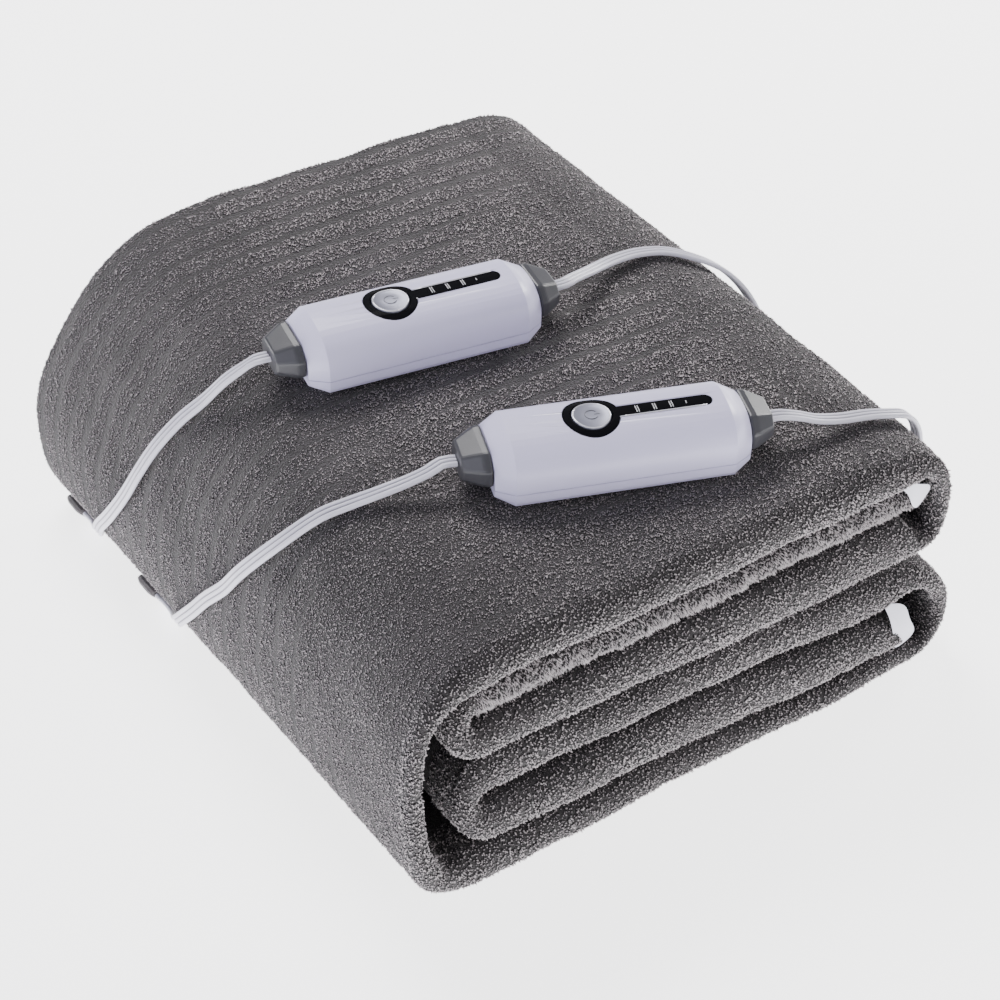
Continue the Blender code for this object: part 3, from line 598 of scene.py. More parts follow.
def pile_tree():
    """Stands tufts at random points of a surface, leaning as it was brushed, and none of them
    in the grooves over the heating wires."""
    tree = bpy.data.node_groups.new("plush_pile", "GeometryNodeTree")
    amounts = ("Density", "Length", "Width", *PILE_AMOUNTS, "Wire Spacing")
    socket_types = {
        "Geometry": "Geometry", **dict.fromkeys(amounts, "Float"),
        "Seed": "Int", "Shape": "Object", "Finish": "Material",
    }
    for name, kind in socket_types.items():
        tree.interface.new_socket(name=name, in_out="INPUT", socket_type=f"NodeSocket{kind}")
    tree.interface.new_socket(
        name="Geometry", in_out="OUTPUT", socket_type="NodeSocketGeometry"
    )
    given = tree.nodes.new("NodeGroupInput").outputs

    def node(kind, inputs, **settings):
        return add_node(tree, kind, inputs, **settings)

    def number(operation, first, second=0.0, clamp=False):
        inputs = {0: first, 1: second}
        return node("ShaderNodeMath", inputs, operation=operation, use_clamp=clamp)[0]

    def arrow(operation, first, second):
        inputs = {0: first, "Scale" if operation == "SCALE" else 1: second}
        return node("ShaderNodeVectorMath", inputs, operation=operation)[0]

    def random_value(inputs, kind):
        return node("FunctionNodeRandomValue", inputs, data_type=kind)

    scattered = node("GeometryNodeDistributePointsOnFaces", {
        "Mesh": given["Geometry"], "Density": given["Density"], "Seed": given["Seed"],
    })
    clumps = node("ShaderNodeTexNoise", {"Scale": given["Tufts"], "Detail": 1.0})
    clump_tone = spread_value(tree, clumps["Fac"], *CLUMP_LEVELS, 0.0, 1.0)

    # grooves along the wires, which wander a little across the cloth
    stored = node(
        "GeometryNodeInputNamedAttribute", {"Name": "cloth_place"}, data_type="FLOAT_VECTOR"
    )
    place = node("ShaderNodeSeparateXYZ", {"Vector": stored["Attribute"]})
    drift = node("ShaderNodeTexNoise", {"Scale": DRIFT_SCALE})["Fac"]
    wandering = number("ADD", place["Y"], number("MULTIPLY", drift, WIRE_WANDER))
    turns = number("DIVIDE", wandering, given["Wire Spacing"])
    off_wire = number("ABSOLUTE", number("SUBTRACT", number("FRACT", turns), 0.5))
    off_wire = number("MULTIPLY", off_wire, given["Wire Spacing"])
    beside = number("SUBTRACT", 1.0, number("DIVIDE", off_wire, GROOVE_HALF_WIDTH), clamp=True)
    groove = number("MULTIPLY", number("POWER", beside, GROOVE_FALL), place["Z"])
    groove = number("MULTIPLY", groove, given["Wire Parting"])

    # the woven rows, drawn out along the cloth
    row_place = node("ShaderNodeCombineXYZ", {
        "X": number("MULTIPLY", place["X"], ROW_STRETCH), "Y": place["Y"],
    })
    rows = spread_value(tree, noise_value(tree, row_place["Vector"], ROW_SCALE), *ROW_SHADES)
    shade = number("MULTIPLY", rows, given["Paleness"])
    # painted shade: the tufts' tone darkens towards the groove over each wire, where the parted pile
    # lies in shade
    shade = number("MULTIPLY", number("SUBTRACT", 1.0, groove), shade)

    parted = node("GeometryNodeDeleteGeometry", {
        "Geometry": scattered["Points"], "Selection": number("GREATER_THAN", groove, BARE_FROM),
    }, domain="POINT")
    toned = node("GeometryNodeStoreNamedAttribute", {
        "Geometry": parted["Geometry"], "Name": "tuft_tone",
        "Value": number("MULTIPLY", clump_tone, shade),
    }, data_type="FLOAT", domain="POINT")

    # each tuft's way: the surface's, its clump's, the combing, the brushing, and its own
    centre = (0.5, 0.5, 0.5)
    brushing = node("ShaderNodeTexNoise", {"Scale": BRUSHING_SCALE, "Detail": 2.0})["Color"]
    brushing = arrow("SCALE", arrow("SUBTRACT", brushing, centre), given["Brushing"])
    own = random_value({0: (-1, -1, -1), 1: (1, 1, 1), "Seed": given["Seed"]}, "FLOAT_VECTOR")
    own = arrow("SCALE", own[0], given["Lean"])
    clump_way = arrow("SCALE", arrow("SUBTRACT", clumps["Color"], centre), CLUMP_LEAN)
    combing = arrow("SCALE", COMBED_WAY, given["Combing"])
    way = scattered["Normal"]
    for lean in (clump_way, combing, brushing, own):
        way = arrow("ADD", way, lean)
    stand = node("FunctionNodeAlignRotationToVector", {"Vector": way}, axis="Z")
    about = node("FunctionNodeAxisAngleToRotation", {
        "Axis": (0, 0, 1), "Angle": random_value({3: 2 * math.pi}, "FLOAT")[1],
    })
    turned = node("FunctionNodeRotateRotation", {
        "Rotation": stand["Rotation"], "Rotate By": about["Rotation"],
    }, rotation_space="LOCAL")

    uneven = random_value(dict(zip((2, 3), UNEVEN_LENGTHS)), "FLOAT")[1]
    length = spread_value(tree, clump_tone, 0.0, 1.0, CLUMP_SHORTEST, 1.0)
    length = number("MULTIPLY", length, number("MAXIMUM", shade, SHORTEST_SHARE))
    length = number("MULTIPLY", number("MULTIPLY", uneven, length), given["Length"])
    size = node("ShaderNodeCombineXYZ", {
        "X": given["Width"], "Y": given["Width"], "Z": length,
    })
    shape = node("GeometryNodeObjectInfo", {"Object": given["Shape"]})
    placed = node("GeometryNodeInstanceOnPoints", {
        "Points": toned["Geometry"], "Instance": shape["Geometry"],
        "Rotation": turned["Rotation"], "Scale": size["Vector"],
    })
    real = node("GeometryNodeRealizeInstances", {"Geometry": placed["Instances"]})
    dressed = node("GeometryNodeSetMaterial", {
        "Geometry": real["Geometry"], "Material": given["Finish"],
    })
    node("NodeGroupOutput", {"Geometry": dressed["Geometry"]})
    return tree


PILE_TREE = pile_tree()


def stand_pile(name, chosen, count, length_mm, width_mm, amounts, seed):
    """A pile on the chosen quads of the cloth's grid, given as (station, place round the hem)."""
    over_table = cloth_points[:-1, :, 2] > ON_TABLE_SHARE * length_mm / 1000.0
    quads = grid_quads(*np.nonzero(chosen & over_table), cloth_points.shape[1])
    used, numbered = np.unique(quads, return_inverse=True)
    ground = cloth_points.reshape(-1, 3)[used]
    faces = numbered.reshape(-1, 4)
    corner = ground[faces]
    crossed = np.cross(corner[:, 2] - corner[:, 0], corner[:, 3] - corner[:, 1])
    area = np.linalg.norm(crossed, axis=1).sum() / 2
    mesh = bpy.data.meshes.new(name)
    mesh.from_pydata(ground, [], faces.tolist())
    place = mesh.attributes.new("cloth_place", "FLOAT_VECTOR", "POINT")
    place.data.foreach_set("vector", cloth_place.reshape(-1, 3)[used].ravel())
    patch = add_object(name, mesh)
    step = patch.modifiers.new("pile", "NODES")
    step.node_group = PILE_TREE
    values = {
        "Density": count / area, "Length": length_mm / 1000.0, "Width": width_mm / 1000.0,
        **dict(zip(PILE_AMOUNTS, amounts)), "Wire Spacing": WIRE_SPACING,
        "Seed": seed, "Shape": tuft, "Finish": fibre_finish,
    }
    for item in PILE_TREE.interface.items_tree:
        if item.in_out == "INPUT" and item.name in values:
            step[item.identifier] = values[item.name]
    evaluated = patch.evaluated_get(bpy.context.evaluated_depsgraph_get())
    grown = bpy.data.meshes.new_from_object(evaluated)
    patch.modifiers.clear()
    patch.data = grown
    grown.name = name
    return patch


layer_at = np.array(layer_names[:-1])[:, None]
place_round = np.arange(len(kinds))[None, :]
ring_depth = np.concatenate([[y[0]], y])
outer_end, hem_middle = len(outer_y), len(outer_y) + len(ply)
hem_again = hem_middle + PARTING_ROWS
inner_start = hem_again + len(ply)
nose_start = inner_start + len(inner_y)
outer_face = place_round < outer_end + HEM_SHOWN_PLACES
near_edge = place_round >= nose_start
near_edge = near_edge | ((place_round >= inner_start) & (ring_depth < INNER_ROLL_DEPTH))
near_edge = near_edge | ((place_round < outer_end) & (ring_depth < OUTER_ROLL_DEPTH))
back_hem = (place_round >= outer_end - HEM_OUTER_PLACES) & (place_round < hem_middle - 1)
back_hem = back_hem | ((place_round >= hem_again) & (place_round < inner_start + HEM_INNER_PLACES))
in_loop = np.isin(layer_at, ("upper_loop", "lower_loop"))
in_view = outer_face & (np.isin(layer_at, ("top", "wrap")) | in_loop)
hairy = layer_at == "second"
regions = {
    "pile_top": outer_face & (layer_at == "top"),
    "pile_wrap": outer_face & (layer_at == "wrap"),
    "pile_loops": outer_face & in_loop,
    "pile_near_edges": near_edge & ~hairy & ~in_view,
    "pile_second_layer": near_edge & hairy,
    "pile_back_hems": back_hem & ~in_view,
}
piles = [stand_pile(name, regions[name], *choice) for name, choice in PILES.items()]
bpy.data.objects.remove(tuft)
for piece in (cloth, *piles):
    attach(piece, "pad")
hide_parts("pad")


# Two blank woven labels are sewn in at the cut ends, one in each hollow at the right. They are
# white satin tape, folded over and heat cut.
LABEL_OUTLINES = {  # x and z of each tape's rounded outline, clockwise from its sewn edge
    "upper_label": (
        (240.5, 113.0), (244.4, 113.6), (251.1, 110.2), (258.2, 106.4), (259.6, 103.4),
        (257.0, 99.9), (253.7, 95.9), (250.4, 98.6), (245.9, 107.1),
    ),
    "lower_label": (
        (244.6, 45.4), (248.0, 44.2), (253.4, 42.2), (256.2, 39.6), (258.9, 32.2), (264.6, 21.8),
        (265.4, 17.2), (261.4, 15.2), (255.0, 15.4), (250.9, 25.1), (247.0, 38.4),
    ),
}
LABEL_Y = {"upper_label": 4.2, "lower_label": 3.6}
LABEL_THICK = 0.35
LABEL_BOW = 0.012
LABEL_SIDES = 48
LABEL_RINGS = (0.0, 0.4, 0.75, 1.0)
MERGE_WITHIN = 1e-7
SHARP_FROM = math.radians(50)


def plain_finish(name, colour, roughness, mottle, bump_mm, grain, metallic=0.0):
    """A coloured surface with a faint mottle and a fine grain, both fixed on the piece."""
    finish, tree, inputs = new_finish(name, {"Roughness": roughness, "Metallic": metallic})
    place = object_place(tree)
    share = spread_value(tree, noise_value(tree, place, 60.0, 3.0), 0.3, 0.7, 0.0, 1.0)
    darker = tuple(channel * (1.0 - mottle) for channel in colour)
    tree.links.new(blend_colour(tree, share, darker, colour), inputs["Base Color"])
    add_bump(tree, noise_value(tree, place, grain), bump_mm)
    return finish


label_tape = plain_finish("label_tape", (0.83, 0.83, 0.93), 0.5, 0.04, 0.12, 2600.0)
for node, outline in LABEL_OUTLINES.items():
    rim = smooth_line((*outline, outline[0]), LABEL_SIDES)[:-1]
    middle = rim.mean(axis=0)
    layers = []
    for front in (-1.0, 1.0):
        for share in LABEL_RINGS:
            spread = middle + (rim - middle) * share
            bow = LABEL_BOW * ((spread - middle) ** 2).sum(axis=1)
            depth = LABEL_Y[node] + bow + front * LABEL_THICK / 2
            layers.append(np.column_stack([spread[:, 0], depth, spread[:, 1]]))
    order = layers[:len(LABEL_RINGS)] + layers[:len(LABEL_RINGS) - 1:-1]
    points = (np.array(order) - PAD_ORIGIN) / 1000.0
    tape = add_object(f"{node}_tape", grid_mesh(f"{node}_tape", points))
    merged = bmesh.new()
    merged.from_mesh(tape.data)
    bmesh.ops.remove_doubles(merged, verts=merged.verts, dist=MERGE_WITHIN)
    bmesh.ops.dissolve_degenerate(merged, edges=merged.edges, dist=MERGE_WITHIN)
    bmesh.ops.recalc_face_normals(merged, faces=merged.faces)
    merged.to_mesh(tape.data)
    merged.free()
    tape.data.set_sharp_from_angle(angle=SHARP_FROM)
    tape.data.materials.append(label_tape)
    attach(tape, "pad")
    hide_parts(node)


# Each lead is a flat white cord of three ribs. The pad leads go over the left roll into moulded
# entries in the cloth; the mains leads go down the right side, along the table into a tied hank,
# and end in a two-blade plug.
CORD_WIDTH = 6.6
RIB_RADIUS = 1.15
RIB_APART = 2.15
RING_STEP = 3.0
# painted shade in the grooves between the lead's ribs
GROOVE_SHADE_COLOUR = (0.24, 0.23, 0.28)
GROOVE_WITHIN = 0.02
SLEEVE_STARTS = {  # each end of a lead's straight run out of its sleeve
    "front_pad": ((79.07, 86.95, 143.95, 0), (73.71, 88.89, 144.03, 0)),
    "back_pad": ((50.62, 183.86, 147.61, 0), (45.01, 184.87, 147.61, 0)),
    "front_mains": ((199.91, 43.00, 142.14, 0), (205.27, 41.05, 142.06, 0)),
    "back_mains": ((177.19, 161.08, 147.61, 0), (182.80, 160.08, 147.61, 0)),
}
LEAD_ROUTES = {  # x, y, z in mm and the turn of the flat side about Y from facing up
    "front_pad": (
        (68.1, 89.6, 141.9, 0), (60.3, 92.5, 138.5, -3), (47.9, 97.1, 134.5, -11),
        (39.2, 102.0, 130.5, -22), (28.0, 106.6, 126.3, -33), (13.2, 115.1, 112.9, -53),
        (3.1, 128.9, 93.6, -69), (0.2, 141.0, 77.0, -79), (-1.8, 154.4, 62.1, -83),
        (-2.3, 168.0, 46.0, -92), (-1.4, 181.9, 30.7, -101), (0.2, 191.0, 21.1, -106),
        (3.6, 200.0, 12.5, -120), (7.2, 209.0, 7.2, -132), (8.7, 218.0, 5.2, -132),
        (7.7, 226.0, 5.7, -132),
    ),
    "back_pad": (
        (41.4, 187.2, 144.6, -6), (34.0, 192.0, 137.4, -24), (27.2, 199.0, 126.0, -36),
        (18.3, 206.0, 114.8, -47), (8.5, 212.4, 100.5, -62), (1.6, 218.6, 85.2, -69),
        (-1.6, 226.5, 70.5, -78), (-3.4, 235.3, 57.5, -83), (-4.0, 247.0, 43.0, -93),
        (-3.0, 259.3, 29.9, -100), (-1.3, 267.0, 20.9, -110), (2.4, 276.0, 12.4, -121),
        (5.4, 284.0, 7.3, -131), (7.0, 291.0, 5.5, -131), (6.3, 297.0, 5.9, -131),
    ),
    "front_mains": (
        (213.2, 39.0, 139.4, 0), (222.2, 37.2, 135.2, 1), (233.4, 35.4, 131.9, 2),
        (246.3, 33.2, 129.8, 15), (255.9, 31.4, 127.5, 28), (266.0, 30.9, 123.2, 46),
        (273.3, 31.8, 115.0, 63), (278.4, 33.6, 103.4, 76), (280.5, 36.5, 90.0, 86),
        (281.6, 41.0, 77.0, 90), (282.8, 46.0, 64.0, 90), (286.2, 52.0, 51.0, 90),
        (290.8, 59.0, 38.2, 90), (293.4, 67.0, 26.0, 90), (293.4, 77.0, 14.5, 90),
        (294.8, 87.5, 7.0, 90), (297.0, 98.0, 4.2, 90), (299.4, 106.0, 3.9, 90),
        (300.2, 110.2, 3.9, 90),
    ),
    "back_mains": (
        (190.2, 163.2, 146.0, 0), (201.7, 168.2, 142.4, 1), (213.0, 173.0, 139.2, 1),
        (224.0, 175.8, 137.2, 2), (236.1, 176.6, 135.4, 4), (248.5, 172.7, 133.9, 14),
        (259.6, 165.0, 130.6, 26), (269.4, 159.0, 125.0, 45), (276.2, 152.5, 117.4, 61),
        (280.6, 146.5, 107.8, 76), (282.2, 140.0, 97.0, 88), (282.6, 134.0, 85.0, 90),
        (283.4, 129.5, 72.0, 90), (286.0, 126.0, 59.0, 90), (290.2, 125.0, 46.0, 90),
        (293.2, 128.0, 33.0, 90), (294.2, 135.0, 21.0, 90), (294.5, 146.0, 11.5, 90),
        (294.5, 160.0, 6.0, 90), (294.5, 180.0, 4.1, 90), (294.7, 205.0, 3.9, 90),
        (296.2, 228.0, 3.9, 90), (298.8, 244.0, 3.9, 90), (300.2, 252.2, 3.9, 90),
    ),
}
HANKS = {"front": (318.0, 122.0), "back": (318.0, 264.0)}  # centre of each near round end
HANK_RUN = 100.0
HANK_RADIUS = 17.9
TURN_PITCH = 2.8
CLIMB_RADIUS = 9.4
CLIMB_TURNS = (3.0, 3.35)  # the turns between which the lead climbs to the upper layer
LAST_TURN = 6.5
LAYER_HEIGHTS = (3.9, 10.7)
HANK_MEAN_RADIUS = 14.0
TAIL = (
    (21.8, 76.0, 10.6, 90), (22.6, 69.0, 10.7, 90), (26.4, 58.0, 11.1, 90), (29.0, 50.0, 11.3, 90),
    (29.2, 45.0, 11.3, 90),
)
TIE_PLACES = {"near": 26.0, "far": 74.0}  # along the hank's straight run
TIE_WIDTH = 5.0
TIE_THICK = 0.8
TIE_CORNER = 3.0
TIE_CORNER_STEPS = 6
TIE_SIDE_ROOM = 0.6
TIE_ROOM = 0.1


def finish_nodes(finish, *nodes):
    for node in nodes:
        for slot in bpy.data.objects[node].material_slots:
            slot.material = finish


lead_vinyl = plain_finish("lead_vinyl", (0.74, 0.725, 0.83), 0.32, 0.03, 0.05, 700.0)
lead_tree = lead_vinyl.node_tree
lead_base = lead_tree.nodes["Principled BSDF"].inputs["Base Color"]
rib_colour = lead_base.links[0].from_socket
# painted shade: the lead darkens along the grooves between its ribs
lead_colour = blend_colour(lead_tree, attribute_value(lead_tree, "groove"), rib_colour, GROOVE_SHADE_COLOUR)
lead_tree.links.new(lead_colour, lead_base)
gland_cloth = plush_material("gland_cloth", (0.09, 0.082, 0.086), (0.24, 0.22, 0.23), 0.3)
plug_brass = plain_finish("plug_brass", (0.75, 0.68, 0.5), 0.28, 0.05, 0.01, 1500.0, 1.0)

# the ribs' outline: an outer rib, the middle one's top, the other outer rib, the middle's foot
meets = math.degrees(math.acos(RIB_APART / 2 / RIB_RADIUS))
rib_section = []
for offset, first, last, count in (
    (RIB_APART, meets - 180.0, 180.0 - meets, 9), (0.0, 62.0, 118.0, 3),
    (-RIB_APART, meets, 360.0 - meets, 9), (0.0, 242.0, 298.0, 3),
):
    for angle in np.radians(np.linspace(first, last, count)):
        rib_section.append((offset + RIB_RADIUS * math.cos(angle), RIB_RADIUS * math.sin(angle)))
rib_section = np.array(rib_section)
in_groove = np.abs(np.abs(rib_section[:, 0]) - RIB_APART / 2) < GROOVE_WITHIN


def unit_rows(rows):
    return rows / np.linalg.norm(rows, axis=1)[:, None]


def free_run(route):
    """A smooth line through a given route, with its flat side's direction at each point."""
    route = np.array(route, float)
    run = distances(route[:, :3])
    count = round(run[-1] / RING_STEP) + 1
    lean = np.radians(np.interp(np.linspace(0.0, run[-1], count), run, route[:, 3]))
    return smooth_line(route[:, :3], count), np.column_stack([np.sin(lean), 0.0 * lean, np.cos(lean)])


def hank_run(centre):
    """The wound part: an inward spiral of long turns, a climb, and an outward spiral on top."""
    points = []
    turn_step = RING_STEP / (2 * HANK_RUN + 2 * math.pi * HANK_MEAN_RADIUS)
    for turn in np.arange(0.0, LAST_TURN, turn_step):
        climbed = np.clip((turn - CLIMB_TURNS[0]) / (CLIMB_TURNS[1] - CLIMB_TURNS[0]), 0.0, 1.0)
        radius = max(HANK_RADIUS - TURN_PITCH * turn, CLIMB_RADIUS)
        if turn > CLIMB_TURNS[1]:
            radius = CLIMB_RADIUS + TURN_PITCH * (turn - CLIMB_TURNS[1])
        bend = math.pi * radius
        along = turn % 1.0 * (2 * HANK_RUN + 2 * bend)
        if along < HANK_RUN:
            x, y = -radius, along
        elif along < HANK_RUN + bend:
            angle = math.pi - (along - HANK_RUN) / radius
            x, y = radius * math.cos(angle), HANK_RUN + radius * math.sin(angle)
        elif along < 2 * HANK_RUN + bend:
            x, y = radius, 2 * HANK_RUN + bend - along
        else:
            angle = -(along - 2 * HANK_RUN - bend) / radius
            x, y = radius * math.cos(angle), radius * math.sin(angle)
        smooth_climb = climbed**2 * (3 - 2 * climbed)
        z = LAYER_HEIGHTS[0] + (LAYER_HEIGHTS[1] - LAYER_HEIGHTS[0]) * smooth_climb
        points.append((centre[0] + x, centre[1] + y, z))
    points = np.array(points)
    ways = unit_rows(np.gradient(points, axis=0))
    return points, np.cross((0.0, 0.0, -1.0), ways)


def lay_lead(name, parts):
    """A ribbed lead through the given stretches of (points, face directions)."""
    points = np.concatenate([part[0] for part in parts])
    faces = np.concatenate([part[1] for part in parts])
    ways = unit_rows(np.gradient(points, axis=0))
    ways[0], ways[-1] = unit_rows(np.array((points[1] - points[0], points[-1] - points[-2])))
    across = unit_rows(np.cross(ways, faces))
    out = np.cross(across, ways)
    wide, tall = rib_section[None, :, :1], rib_section[None, :, 1:]
    rings = points[:, None] + across[:, None] * wide + out[:, None] * tall
    rings = (rings - PAD_ORIGIN) / 1000.0
    lead = add_object(name, grid_mesh(name, rings))
    lead.data.set_sharp_from_angle(angle=SHARP_FROM)
    # the groove points, where the painted shade goes
    shade = lead.data.attributes.new("groove", "FLOAT", "POINT")
    shade.data.foreach_set("value", np.tile(in_groove.astype(float), len(rings)))
    lead.data.materials.append(lead_vinyl)
    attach(lead, "pad")
    path = (points - PAD_ORIGIN) / 1000.0
    length = float(np.linalg.norm(np.diff(path, axis=0), axis=1).sum())
    return lead, path, length


def tie_hank(name, centre, along):
    """A flat band tied round the hank's runs."""
    half = HANK_RADIUS + RIB_RADIUS + TIE_SIDE_ROOM
    low = LAYER_HEIGHTS[0] - CORD_WIDTH / 2 - TIE_ROOM
    high = LAYER_HEIGHTS[1] + CORD_WIDTH / 2 + TIE_ROOM
    middle, tall = (low + high) / 2, (high - low) / 2
    band = []
    for quarter, (sign_x, sign_z) in enumerate(((1, 1), (-1, 1), (-1, -1), (1, -1))):
        start = quarter * 90.0
        for angle in np.radians(np.linspace(start, start + 90.0, TIE_CORNER_STEPS)):
            out_x, out_z = math.cos(angle), math.sin(angle)
            x = sign_x * (half - TIE_CORNER) + TIE_CORNER * out_x
            z = sign_z * (tall - TIE_CORNER) + TIE_CORNER * out_z
            band.append((x, z, out_x, out_z))
    edge = TIE_WIDTH / 2
    section = ((-edge, 0.0), (-edge, TIE_THICK), (edge, TIE_THICK), (edge, 0.0))
    rings = [
        [(centre[0] + x + out_x * rise, centre[1] + along + wide, middle + z + out_z * rise)
         for wide, rise in section]
        for x, z, out_x, out_z in band
    ]
    rings = (np.array(rings) - PAD_ORIGIN) / 1000.0
    count = len(rings)
    i, j = np.divmod(np.arange(4 * count), 4)
    faces = (grid_quads(i, j, 4) % (4 * count)).tolist()
    mesh = bpy.data.meshes.new(name)
    mesh.from_pydata(rings.reshape(-1, 3).tolist(), [], faces)
    build = bmesh.new()
    build.from_mesh(mesh)
    bmesh.ops.recalc_face_normals(build, faces=build.faces)
    build.to_mesh(mesh)
    build.free()
    mesh.materials.append(lead_vinyl)
    tie = add_object(name, mesh)
    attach(tie, "pad")
    return tie


for side in ("front", "back"):
    route = SLEEVE_STARTS[f"{side}_pad"] + LEAD_ROUTES[f"{side}_pad"]
    lead, path, length = lay_lead(f"{side}_pad_cord", [free_run(route)])
    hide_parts(f"{side}_pad_lead")
    centre = HANKS[side]
    route = SLEEVE_STARTS[f"{side}_mains"] + LEAD_ROUTES[f"{side}_mains"]
    tail = [(centre[0] + x, centre[1] + y, z, lean) for x, y, z, lean in TAIL]
    wound = hank_run(centre)
    last_way = (*(wound[0][-1]), 90.0)
    stretches = [free_run(route), wound, free_run([last_way, *tail])]
    lead, path, length = lay_lead(f"{side}_mains_cord", stretches)
    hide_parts(f"{side}_mains_lead", f"{side}_hank", f"{side}_tail")
    ties = [tie_hank(f"{side}_tie_{end}", centre, along) for end, along in TIE_PLACES.items()]
    finish_nodes(lead_vinyl, f"{side}_plug")
    finish_nodes(gland_cloth, f"{side}_gland")
    finish_nodes(plug_brass, f"{side}_blade_low", f"{side}_blade_high")


# The two controllers are white moulded shells with a soft grey cable sleeve at each end. A black
# window in a thin chrome rim holds the indicator marks and the round silver button; the rim's pale
# colour is partly a painted highlight along the window's edge.
SEATS = {
    "front": ((-0.0033, -0.09583, 0.13156), (-0.00075, -0.04308, 0.99907), -20.0),
    "back": ((-0.02881, 0.01167, 0.13612), (-0.00781, -0.04334, 0.99903), -10.2),
}
BUTTON_X = -0.0102
BUTTON_PROFILE = (  # radius, and height over the curved window
    (0.0, 0.00018), (0.0033, 0.00016), (0.0064, 0.0002), (0.0068, 0.00034), (0.0074, 0.00036),
    (0.0078, 0.00022), (0.0079, 0.0), (0.0079, -0.0016), (0.0, -0.0018),
)
BUTTON_SIDES = 48
RING_RADIUS = 0.0074
RING_RISE = 0.00026
SYMBOL_RISE = 0.00015
SYMBOL_RADIUS = 0.0026
SYMBOL_TURNS = (35.0, 325.0, 28)
SYMBOL_BAR = (0.0012, 0.0034)
SYMBOL_STROKE = 0.00016
WINDOW_CREST = 0.02512
WINDOW_CURVE = 0.0414  # radius of the window's face across the controller
WINDOW_RADIUS = 0.0114
WINDOW_BAR = 0.0031
WINDOW_TIP = 0.0394
RING_STEPS = 48
BAR_STEPS = 9
TIP_STEPS = 11
RIM_RADIUS = 0.00028
MARKS = (  # place along the window, height, and number of strokes
    (0.0081, 0.0038, 2), (0.0152, 0.0036, 2), (0.0221, 0.0036, 2), (0.0287, 0.0014, 1),
)
MARK_STROKE = 0.00022
STROKE_PITCH = 0.0009
SHELL_EDGE = math.radians(18)  # a shell's edges turning more than this stay sharp
BUTTON_EDGE = math.radians(40)
SHELL_MERGE_WITHIN = 1e-6
PROBE_FROM = 0.06  # a height over the seat that is clear of the whole controller

shell_plastic = plain_finish("shell_plastic", (0.73, 0.70, 0.95), 0.3, 0.015, 0.02, 3000.0)
window_black = plain_finish("window_black", (0.003, 0.003, 0.0045), 0.12, 0.2, 0.0, 1000.0)
window_inputs = window_black.node_tree.nodes["Principled BSDF"].inputs
window_inputs["Specular IOR Level"].default_value = 0.12
button_silver = plain_finish("button_silver", (0.27, 0.275, 0.34), 0.36, 0.05, 0.01, 4000.0, 0.55)
# the window rim and the button ring: half-metallic chrome, its pale colour partly a painted highlight
# along the window's edge
rim_chrome_and_highlight = plain_finish("rim_chrome_and_highlight", (0.84, 0.83, 0.9), 0.2, 0.02, 0.0, 1000.0, 0.5)
sleeve_rubber = plain_finish("sleeve_rubber", (0.055, 0.055, 0.064), 0.36, 0.08, 0.03, 2500.0)
mark_paint = plain_finish("mark_paint", (0.62, 0.62, 0.64), 0.5, 0.1, 0.0, 1000.0)
symbol_grey = plain_finish("symbol_grey", (0.12, 0.12, 0.14), 0.5, 0.1, 0.0, 1000.0)


def seat_matrix(seat, normal, turn):
    """The controller's own frame: its seat on the cloth, the cloth's normal there, and its turn."""
    lean = Vector((0.0, 0.0, 1.0)).rotation_difference(Vector(normal)).to_matrix().to_4x4()
    return Matrix.Translation(seat) @ lean @ Matrix.Rotation(math.radians(turn), 4, "Z")


def surface_height(seat_frame, nodes, x, y):
    """Height over the controller's seat where a line straight down first meets one of the nodes."""
    start = seat_frame @ Vector((x, y, PROBE_FROM))
    down = seat_frame.to_3x3() @ Vector((0.0, 0.0, -1.0))
    heights = []
    for node in nodes:
        met, place, _, _ = bpy.data.objects[node].ray_cast(start, down)
        if met:
            heights.append((seat_frame.inverted() @ place).z)
    return max(heights)


def wire(name, points, radius, closed, finish, seat_frame):
    """A round wire through points in a controller's own frame, as a mesh at its place."""
    line = bpy.data.curves.new(name, "CURVE")
    line.dimensions = "3D"
    line.bevel_depth = radius
    line.bevel_resolution = 2
    line.use_fill_caps = True
    spline = line.splines.new("POLY")
    spline.points.add(len(points) - 1)
    for spot, place in zip(spline.points, points):
        spot.co = (*(seat_frame @ Vector(place)), 1.0)
    spline.use_cyclic_u = closed
    drawn = add_object(name, line)
    evaluated = drawn.evaluated_get(bpy.context.evaluated_depsgraph_get())
    mesh = bpy.data.meshes.new_from_object(evaluated)
    bpy.data.objects.remove(drawn)
    mesh.name = name
    mesh.materials.clear()
    mesh.materials.append(finish)
    mesh.shade_smooth()
    return add_object(name, mesh)


def arc_points(middle_x, radius, turns):
    return [(middle_x + radius * math.cos(turn), radius * math.sin(turn)) for turn in turns]


def window_height(y):
    return WINDOW_CREST - y**2 / (2 * WINDOW_CURVE)


def window_circle(radius, rise):
    """Points round the button's middle, at a height over the curved window."""
    around = arc_points(BUTTON_X, radius, np.linspace(0.0, 2 * math.pi, BUTTON_SIDES, endpoint=False))
    return [(x, y, window_height(y) + rise) for x, y in around]


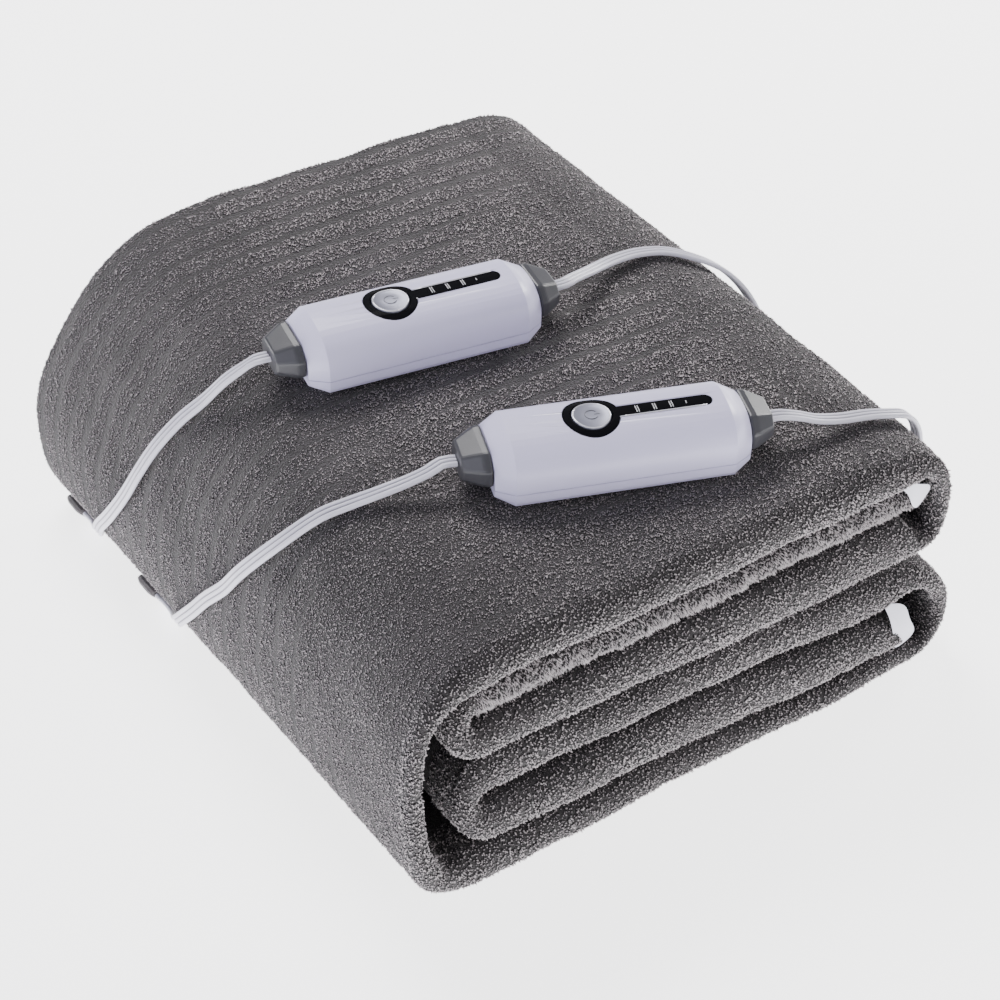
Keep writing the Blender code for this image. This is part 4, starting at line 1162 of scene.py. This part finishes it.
def round_button(name, seat_frame):
    """A dished button with a raised rim, its face curved as the window is."""
    turned = bmesh.new()
    rings = []
    for radius, rise in BUTTON_PROFILE:
        spots = window_circle(radius, rise) if radius else [(BUTTON_X, 0.0, WINDOW_CREST + rise)]
        rings.append([turned.verts.new(seat_frame @ Vector(spot)) for spot in spots])
    for inner, outer in zip(rings[:-1], rings[1:]):
        for i in range(BUTTON_SIDES):
            k = (i + 1) % BUTTON_SIDES
            if len(inner) == 1:
                turned.faces.new((inner[0], outer[i], outer[k]))
            elif len(outer) == 1:
                turned.faces.new((inner[k], inner[i], outer[0]))
            else:
                turned.faces.new((inner[i], outer[i], outer[k], inner[k]))
    bmesh.ops.recalc_face_normals(turned, faces=turned.faces)
    mesh = bpy.data.meshes.new(name)
    turned.to_mesh(mesh)
    turned.free()
    mesh.shade_smooth()
    mesh.set_sharp_from_angle(angle=BUTTON_EDGE)
    mesh.materials.append(button_silver)
    return add_object(name, mesh)


def smoothed(node, finish):
    """A copy of a shell with its doubles merged, so that its rounded faces shade smoothly."""
    mesh = bpy.data.objects[node].data.copy()
    merged = bmesh.new()
    merged.from_mesh(mesh)
    bmesh.ops.remove_doubles(merged, verts=merged.verts, dist=SHELL_MERGE_WITHIN)
    merged.to_mesh(mesh)
    merged.free()
    mesh.materials.clear()
    mesh.materials.append(finish)
    mesh.shade_smooth()
    mesh.set_sharp_from_angle(angle=SHELL_EDGE)
    piece = add_object(f"{node}_moulding", mesh)
    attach(piece, "pad")
    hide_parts(node)
    return piece


# the window's keyhole outline: its ring round the button, and its bar with a round tip
mouth = math.asin(WINDOW_BAR / WINDOW_RADIUS)
bar_start, bar_end = BUTTON_X + WINDOW_RADIUS * math.cos(mouth), WINDOW_TIP - WINDOW_BAR
bar_xs = np.linspace(bar_start, bar_end, BAR_STEPS)[1:-1]
ring_turns = np.linspace(mouth, 2 * math.pi - mouth, RING_STEPS)
keyhole = arc_points(BUTTON_X, WINDOW_RADIUS, ring_turns)
keyhole += [(x, -WINDOW_BAR) for x in bar_xs]
keyhole += arc_points(bar_end, WINDOW_BAR, np.linspace(-math.pi / 2, math.pi / 2, TIP_STEPS))
keyhole += [(x, WINDOW_BAR) for x in bar_xs[::-1]]

for side, seat in SEATS.items():
    seat_frame = seat_matrix(*seat)
    face_nodes = (f"{side}_window", f"{side}_upper_shell")
    finish_nodes(window_black, f"{side}_window")
    finish_nodes(sleeve_rubber, f"{side}_left_sleeve", f"{side}_right_sleeve")

    edge = [(x, y, surface_height(seat_frame, face_nodes, x, y)) for x, y in keyhole]
    # the window's rim, pale partly as a painted highlight along its edge
    rim = wire(f"{side}_window_rim", edge, RIM_RADIUS, True, rim_chrome_and_highlight, seat_frame)
    around = window_circle(RING_RADIUS, RING_RISE)
    collar = wire(f"{side}_button_ring", around, RIM_RADIUS, True, rim_chrome_and_highlight, seat_frame)
    marks = []
    for number, (x, tall, strokes) in enumerate(MARKS):
        for stroke in range(strokes):
            at = x + STROKE_PITCH * stroke
            ends = [
                (at, y, surface_height(seat_frame, face_nodes[:1], at, y))
                for y in (-tall / 2, 0.0, tall / 2)
            ]
            name = f"{side}_mark_{number}_{stroke}"
            marks.append(wire(name, ends, MARK_STROKE, False, mark_paint, seat_frame))
    for shell in ("upper_shell", "lower_shell"):
        smoothed(f"{side}_{shell}", shell_plastic)
    button = round_button(f"{side}_round_button", seat_frame)
    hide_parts(f"{side}_button")
    top = WINDOW_CREST + SYMBOL_RISE
    arc = arc_points(BUTTON_X, SYMBOL_RADIUS, np.radians(np.linspace(*SYMBOL_TURNS)))
    arc = [(x, y, top) for x, y in arc]
    bar = [(BUTTON_X + reach, 0.0, top) for reach in SYMBOL_BAR]
    symbol = wire(f"{side}_power_arc", arc, SYMBOL_STROKE, False, symbol_grey, seat_frame)
    symbol_bar = wire(f"{side}_power_bar", bar, SYMBOL_STROKE, False, symbol_grey, seat_frame)
    for piece in (rim, *marks):
        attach(piece, "pad")
    for piece in (button, collar, symbol, symbol_bar):
        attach(piece, f"{side}_button")
